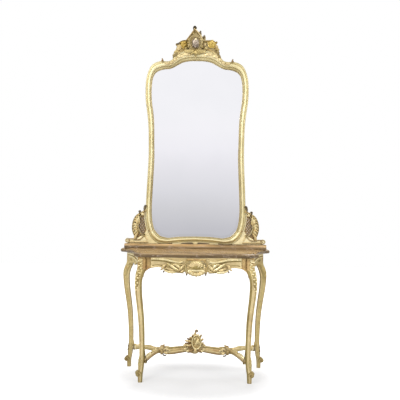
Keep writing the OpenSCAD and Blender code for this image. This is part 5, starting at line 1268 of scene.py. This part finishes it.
def bracket(bm):
    face = BRACKET_BACK - BRACKET_T
    edge = along(b_point, [(1.0, 0.07), (0.84, 0.12), (0.79, 0.18), (0.88, 0.27), (0.94, 0.36), (0.95, 0.45),
                           (0.91, 0.56), (0.82, 0.65), (0.7, 0.72), (0.5, 0.78), (0.3, 0.82), (0.14, 0.86),
                           (0.08, 0.9)], 5)

    def frame_side(steps, off):
        return [[outer_line[i][0] + off, BASE + outer_line[i][1]] for i in steps]

    # the board: a thin ground behind the lattice, painted brown as the shade seen through it, a thicker rim, a stem
    # along the frame and a solid foot
    slab(bm, 2, edge[4:] + frame_side(range(75, 45, -1), 0.4), BRACKET_BACK - 9, BRACKET_BACK - 0.9, 0.8)
    band(bm, 5, [[x - 6, z] for x, z in edge[6:]], 12, BRACKET_BACK, face)
    band(bm, 0, frame_side(range(46, 75), 5), 8, BRACKET_BACK - 0.3, face + 5)
    foot = [[FOOT_X + a, BASE + b] for a, b in ((128, 0.3), (118, 18), (110, 32), (60, 34), (10, 64))]
    slab(bm, 0, [[outer_line[36][0], BASE + 0.3]] + foot + frame_side(range(54, 35, -3), 0.4), face + 3,
         BRACKET_BACK - 0.6, 1)
    # the lattice on its ground, its bars cut off at an oval and beside the frame
    mid_x, mid_z = b_point(0.25, 0.45)
    apart, half_x, half_z = 15, 33, 64
    for a in (radians(-52), radians(52)):
        for d in range(-4, 5):
            bar = []
            for k in range(-80, 81, 2):
                dx, dz = k * cos(a) - d * apart * sin(a), k * sin(a) + d * apart * cos(a)
                if (dx / half_x) ** 2 + (dz / half_z) ** 2 < 1.1 and mid_x + dx > FOOT_X + 3:
                    bar.append([mid_x + dx, mid_z + dz])
            if len(bar) > 5:
                strap(bm, 1, bar, face + 12, 4.2, 4.5, ROLL, (1, 1), len(bar) // 2)
    # ribs of the shell spread from the lattice to the rim, longest low down
    cx, cz = b_point(0.34, 0.43)
    for i in range(12):
        a = radians(-98 + i * 14.5)
        _, x, z = min((math.dist(p, (cx + 90 * cos(a), cz + 120 * sin(a))), *p) for p in edge)
        x1, z1 = x - 9, z + (6 if i < 4 else 0)
        x0, z0 = mix(cx, x1, 0.36), mix(cz, z1, 0.36)
        tip(bm, 0 if i % 3 else 4, (x0, z0), (x1, z1), face, (6, -6, -1), 13, 0, 0, 4.5, 3, 12, 6, 0.55,
            shift=(0.05 * (x1 - x0), 0))
    # the raised rim, with small lobes that lap over it
    strap(bm, 5, [[x - 3.5, z] for x, z in edge[5:60]], face + 2.5, 8, 7.5, COVE, (0.8, 0.5), 80)
    for i in range(13):
        x, z = edge[7 + i * 4]
        leaf(bm, 4, [(x - 17, face + 1, z), (x - 10, face - 7, z + 1), (x - 4 + 2 * (i % 2), face - 2, z + 1)],
             11, FORWARD, 0, 0, 3.5, 2.6, 8, 6, 0.7)
    # a C-scroll round the lattice, its lower curl beside the frame
    c = curl(along(b_point, [[0.12, 0.76], [0.34, 0.73], [0.5, 0.62], [0.54, 0.48], [0.46, 0.34], [0.3, 0.25],
                             [0.14, 0.2]], 7), 11, 1.2, -1)
    strap(bm, 0, [[max(FOOT_X + 1, x), z] for x, z in c], face + 3, 9, 11, STEM, (0.7, 0.6), 90)
    low = along(b_point, [[1.16, 0.12], [0.86, 0.12], [0.6, 0.1], [0.34, 0.115], [0.12, 0.2]], 6)
    strap(bm, 2, low, face + 2, 7, 7, ROLL, (0.8, 0.6), 60)
    # dark leaf tips that curl off the frame and off the top of the rim
    for knots, r in (([[0.04, 0.93], [0.07, 0.97]], 6.5), ([[0.36, 0.79], [0.44, 0.815]], 7)):
        strap(bm, 3, curl(along(b_point, knots), r, 1.1, 1, steps=20), face + 3, 9, 9, STEM, (0.9, 0.6), 30)
    for a, b, wide, tone in (((0.05, 0.83), (0.1, 0.985), 12, 3), ((0.28, 0.8), (0.5, 0.85), 11, 3),
                             ((0.1, 0.76), (0.3, 0.8), 18, 0)):
        tip(bm, tone, b_point(*a), b_point(*b), face, (2, -8, -3), wide, 3, 0.4, 4.5, 3, 14, shift=(2, -2))
    # the plain bright moulding of the foot, and the roll at its end
    foot = along(b_point, [(1.28, 0.05), (0.9, 0.05), (0.5, 0.045), (0.1, 0.045), (-0.2, 0.045)])
    strap(bm, 4, foot, face + 3, 12, 9, ROLL, (0.9, 0.9), 40)
    rising = along(b_point, [(-0.16, 0.09), (-0.05, 0.15), (0.03, 0.23)])
    strap(bm, 4, rising, face + 4, 12, 5, ROLL, (0.6, 0.6), 20)
    x, z = FOOT_X + 126, BASE + 19.3
    path = [Vector((x + a, 0, z + b)) for a, b in spiral(radians(100), -1.7, 16.6, 3, 48, 0.85)]
    section = [(y, 2.4 * q) for y, q in ((193, -1), (193, 0.7), (189, 1), (174, 0.7), (157, 1), (153, 0.7), (153, -1))]
    rolled(bm, 0, path, Vector((0, 1, 0)), [section] * len(path))
    dome(bm, 0, (x, 155, z), FORWARD, 5, 5, 4, 4, 16)
    dome(bm, 2, (x, 157, z), FORWARD, 15, 15, 1, 2, 28)
    dome(bm, 0, (x, 191, z), (0, 1, 0), 15, 15, 1, 2, 28)


pair("bracket", bracket, "burnished shell brown dark pale leaf")


# Crest

CREST_FRONT = 173.0
CREST_TOP = 2413.5


def c_point(x, z):
    """A point of the crest from a share of its half width and a height over the frame."""
    return [x * 168 - 13, BASE + FRAME_H + z * 176 / 172]


def frame_above(x):
    """Height of the frame's outer edge at a distance from the middle."""
    return look_up(-abs(x), [[-o[0], BASE + o[1]] for o in outer_line[180:]])


def crest(bm):
    f = CREST_FRONT
    upper = along(c_point, [
        [-0.97, -52], [-0.93, -28], [-0.84, -6], [-0.83, 14], [-0.74, 28], [-0.66, 44], [-0.54, 54], [-0.44, 60],
        [-0.33, 80], [-0.22, 106], [-0.13, 130], [-0.1, 146], [-0.08, 158], [-0.02, 166], [0.04, 158], [0.01, 146],
        [0.05, 134], [0.12, 120], [0.2, 130], [0.24, 118], [0.24, 104], [0.32, 90], [0.4, 98], [0.42, 82],
        [0.42, 64], [0.56, 60], [0.72, 60], [0.84, 52], [0.88, 34], [0.88, 12], [0.97, 0], [0.99, -26], [1.05, -54]], 3)
    lower = []
    x = upper[-1][0]
    step, clear = 7, 0.4
    while x > upper[0][0]:
        lower.append([x, frame_above(x) + clear])
        x -= step
    slab(bm, 2, upper + lower, f + 2, f + 20, 1.5)
    # two straight mouldings that meet under the tip, a dark strip between them painted as the shade of the hollow,
    # and those that sweep from the shell down to both feet of the crest
    for tone, knots, n, off, wide, high, section, ends, steps in (
            (1, ((-0.42, 62), (-0.31, 84), (-0.2, 108), (-0.1, 134), (-0.06, 146)), 1, 3, 13, 12, STEM, (0.8, 0.6), 40),
            (2, ((-0.34, 58), (-0.24, 80), (-0.14, 104), (-0.08, 122)), 1, 2, 6, 5, ROLL, (0.8, 0.6), 30),
            (1, ((-0.09, 148), (0.03, 134), (0.14, 112), (0.24, 88), (0.31, 62)), 5, 2.5, 12, 13, ROLL, (0.6, 0.6), 50),
            (0, ((-0.1, 132), (0.0, 116), (0.1, 94), (0.18, 72)), 5, 3, 9, 9, STEM, (0.6, 0.6), 40),
            (1, ((-0.3, 20), (-0.48, 4), (-0.66, -14), (-0.82, -34), (-0.93, -50)), 6, 2, 13, 12, COVE, (0.6, 0.5), 70),
            (1, ((0.24, 24), (0.46, 8), (0.66, -8), (0.84, -28), (1.0, -50)), 6, 2, 13, 12, COVE, (0.6, 0.5), 70)):
        strap(bm, tone, along(c_point, knots, n), f + off, wide, high, section, ends, steps)
    for x0, z0, x1, z1, wide in ((-0.12, 102, -0.07, 122, 15), (-0.02, 84, 0.0, 108, 17), (0.1, 70, 0.12, 92, 14),
                                 (-0.2, 76, -0.16, 98, 14)):
        tip(bm, 0, c_point(x0, z0), c_point(x1, z1), f, (1, -8, -3), wide, 3, 0.5, 5, 3, 16)
    # the tip: a round curl on a narrow neck, and two dark leaf tips down the right side
    neck = along(c_point, [(-0.085, 142), (-0.1, 152)])
    strap(bm, 3, curl(neck, 10.5, 1.35, -1, 0.18), f + 3, 9.5, 12, STEM, (0.9, 0.5), 48)
    dome(bm, 3, (c_point(-0.03, 0)[0], f + 2, BASE + FRAME_H + 157), FORWARD, 7, 7, 9, 5, 18)
    for a, b in ((c_point(0.13, 112), c_point(0.2, 134)), (c_point(0.28, 84), c_point(0.37, 104))):
        tip(bm, 3, a, b, f, (2, -9, -2), 15, 2, 0.3, 5, 3, 14, shift=(3, 0))
        dome(bm, 3, (b[0] - 2, f + 1, b[1] - 5), FORWARD, 5, 5.5, 7, 4, 14)
    # scrolls and leaves beside the flowers
    for knots, first, second in (
            ([[-0.3, 52], [-0.4, 62], [-0.54, 60], [-0.68, 48], [-0.76, 34]], (6, 0.9, -1), (7, 1.0, -1)),
            ([[0.32, 52], [0.42, 62], [0.56, 63], [0.72, 62], [0.84, 50]], (6, 0.9, 1), (6, 1.0, 1))):
        strap(bm, 0, two_curls(along(c_point, knots, 6), first, second), f + 2, 11, 11, COVE, (0.5, 0.5), 80)
    for x0, z0, x1, z1, wide, tone in (
            (-0.56, 20, -0.8, 24, 24, 1), (-0.6, 8, -0.83, 2, 22, 1), (-0.68, -8, -0.92, -20, 22, 0),
            (-0.66, 30, -0.79, 44, 15, 3), (-0.74, -22, -0.97, -44, 24, 2), (0.8, 24, 0.94, 22, 20, 1),
            (0.8, 8, 0.99, 2, 20, 0), (0.84, -12, 1.0, -22, 22, 2), (0.88, -32, 1.05, -52, 22, 2),
            (0.3, 26, 0.44, 44, 20, 1), (0.32, 8, 0.52, 14, 22, 0), (-0.34, 8, -0.46, 6, 22, 0)):
        tip(bm, tone, c_point(x0, z0), c_point(x1, z1), f, (1, -10, -3), wide, 3, 0.45, 5, 3, 16, shift=(0, 3))
    for v in bm.verts:
        v.co.z = min(CREST_TOP, v.co.z)


def crest_cartouche(bm):
    cx, cz = -18.04, BASE + 1410.9
    y = FACE_Y - 0.3
    plate = smooth([[0, -90], [9, -80], [24, -72], [38, -54], [44, -32], [54, -16], [50, 0], [54, 18], [42, 34],
                    [34, 50], [18, 62], [6, 74], [-8, 66], [-22, 58], [-36, 44], [-48, 30], [-46, 10], [-54, -4],
                    [-44, -22], [-40, -42], [-26, -60], [-12, -72], [0, -90]], 3)[:-1]
    slab(bm, 2, [(cx + a, cz + b) for a, b in plate], y - 6, y, 1.5)
    inner = [(cx + a * 0.78, cz + b * 0.78) for a, b in plate]
    slab(bm, 0, [(x, z) for x, z in inner if z > frame_above(x) + 1], y, CREST_FRONT + 1, 0)
    # the shell: ribs that fan down from a bright crown, in a thin dark frame
    mid = cx + 3
    dome(bm, 1, (mid, y - 5, cz + 4), FORWARD, 25, 36, 15, 9, 54, 9, 0.05)
    for i in range(5):
        a = radians(-126 + i * 18)
        rib = [[mid + rx * cos(a), cz + z + rz * sin(a)] for rx, z, rz in ((4, 26, 4), (24, 20, 30), (34, 14, 50))]
        strap(bm, 1, rib, y - 16, 6.5, 6, ROLL, (0.5, 0.7), 16)
    dome(bm, 3, (cx + 4, y - 16, cz + 26), FORWARD, 9, 8, 8, 5, 20)
    oval_frame(bm, 2, (mid, y - 6, cz + 4), 27.5, 38.5, 3.2, 7)
    at = (cx, y, cz)
    for side in SIDES:
        # C-scrolls at the shell's sides, open towards it
        c = [[mid + side * a, cz + 4 + b] for a, b in smooth([[26, 42], [38, 26], [41, 4], [36, -20], [24, -38]], 6)]
        strap(bm, 3, two_curls(c, (6, 1.0, side), (8, 1.1, side)), y - 4, 10, 12, STEM, (0.6, 0.6), 70)
        for a0, b0, a1, b1 in ((40, 18, 52, 30), (43, 0, 55, 6), (38, -22, 52, -24)):
            tip(bm, 0, (cx + side * a0, cz + b0), (cx + side * a1, cz + b1), y, (-4, -12, -5), 14, 2, 0.35, 4.5, 3, 12,
                shift=(0, 2))
        # pale leaves that flow from under the shell over the face of the arch
        leaf(bm, 0, near(at, (8, -5, -42), (26, -13, -54), (50, -11, -56), (78, -3, -50), side=side), 25, FORWARD,
             5, 0.45, 5, 3, 28)
        leaf(bm, 0, near(at, (6, -5, -50), (16, -13, -66), (34, -6, -74), side=side), 19, FORWARD, 4, 0.45, 5, 3, 20)
    leaf(bm, 0, near(at, (3, -5, -40), (4, -14, -64), (6, -8, -90)), 22, FORWARD, 4, 0.45, 5, 3, 20)


def crest_flower(bm, x, z, turn):
    dome(bm, 1, (x, CREST_FRONT - 1, z), FORWARD, 29, 27, 3, 3, 30)
    rosette(bm, 0, (x, CREST_FRONT - 2, z), FORWARD, 31, 5, 17, turn)
    rosette(bm, 0, (x, CREST_FRONT - 11, z), FORWARD, 18, 5, 12, turn + 0.6)


carved("crest", crest, "leaf pale sight_edge dark")
carved("crest_cartouche", crest_cartouche, "leaf shell sight_edge burnished")
carved("left_crest_flower", crest_flower, "deep brown", -97.0, BASE + 1411, 0.3)
carved("right_crest_flower", crest_flower, "deep brown", 101.24, BASE + 1415, 1.0)

# Finishes of the pieces that keep their plain shape

for finish, nodes in (("frame", "plinth_block"), ("rust", "knee_blocks"),
                      ("pine_along", "back_rail cross_bearers glue_blocks stretcher_dowels frame_dowels"
                                     " glazing_blocks backboards"),
                      ("brass_finish", "board_screws hanging_plates plate_screws")):
    for node_name in nodes.split():
        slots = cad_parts[node_name].data.materials
        for i in range(len(slots)):
            slots[i] = FINISH[finish]
        if not len(slots):
            slots.append(FINISH[finish])

# Room, lamps and camera

scene = bpy.context.scene
scene.view_settings.view_transform = "Standard"

world = bpy.data.worlds.new("studio")
scene.world = world
world.use_nodes = True
sky = world.node_tree
ray = add(sky, "ShaderNodeLightPath").outputs
split = add(sky, "ShaderNodeSeparateXYZ", Vector=add(sky, "ShaderNodeTexCoord").outputs["Generated"])
span = add(sky, "ShaderNodeMapRange", From_Min=-0.1, From_Max=0.3, Value=split.outputs["Z"])
walls = ramp(sky, span.outputs["Result"], (0.0, (0.56, 0.56, 0.57)), (0.13, (0.61, 0.61, 0.63)),
             (0.225, (0.70, 0.70, 0.71)), (0.325, (0.80, 0.80, 0.815)), (0.425, (0.88, 0.875, 0.89)),
             (0.52, (0.955, 0.95, 0.965)), (0.62, (1.0, 0.995, 1.0)), (0.72, 1.0), (1.0, 1.0))
tone = blend(sky, ray["Is Glossy Ray"], (0.62, 0.62, 0.64), walls)
put(sky, sky.nodes["Background"].inputs["Color"], blend(sky, ray["Is Camera Ray"], tone, (1.0, 1.0, 1.0)))
sky.nodes["Background"].inputs["Strength"].default_value = 1.0


def placed(name, data):
    obj = bpy.data.objects.new(name, data)
    scene.collection.objects.link(obj)
    return obj


for name, place, aim, size, power in (("key", (-2.3, -3.0, 3.6), (0, 0, 1.2), 2.2, 100),
                                      ("fill", (2.8, -2.6, 2.6), (0, 0, 0.9), 2.2, 44),
                                      ("back", (0.6, 2.6, 3.4), (0, 0, 1.4), 2.0, 36)):
    data = bpy.data.lights.new(name, "AREA")
    data.shape = "DISK"
    data.size = size
    data.energy = power
    lamp = placed(name, data)
    lamp.location = place
    lamp.rotation_euler = (Vector(aim) - Vector(place)).to_track_quat("-Z", "Y").to_euler()

floor_mesh = bmesh.new()
bmesh.ops.create_grid(floor_mesh, x_segments=2, y_segments=2, size=6.0)
data = bpy.data.meshes.new("floor")
floor_mesh.to_mesh(data)
floor_mesh.free()
floor = placed("floor", data)
data.materials.append(finished("pale_floor", floor_paint))

camera = bpy.data.cameras.new("camera")
camera.sensor_width = 36
camera.lens = 45.36
camera.shift_x = 0.039
camera.shift_y = 0.0125
eye = placed("camera", camera)
eye.location = (-0.08, -3.395, 1.141)
eye.rotation_euler = (Matrix.Rotation(radians(90), 3, "X") @ Matrix.Rotation(radians(0.7), 3, "Z")).to_euler()
scene.camera = eye
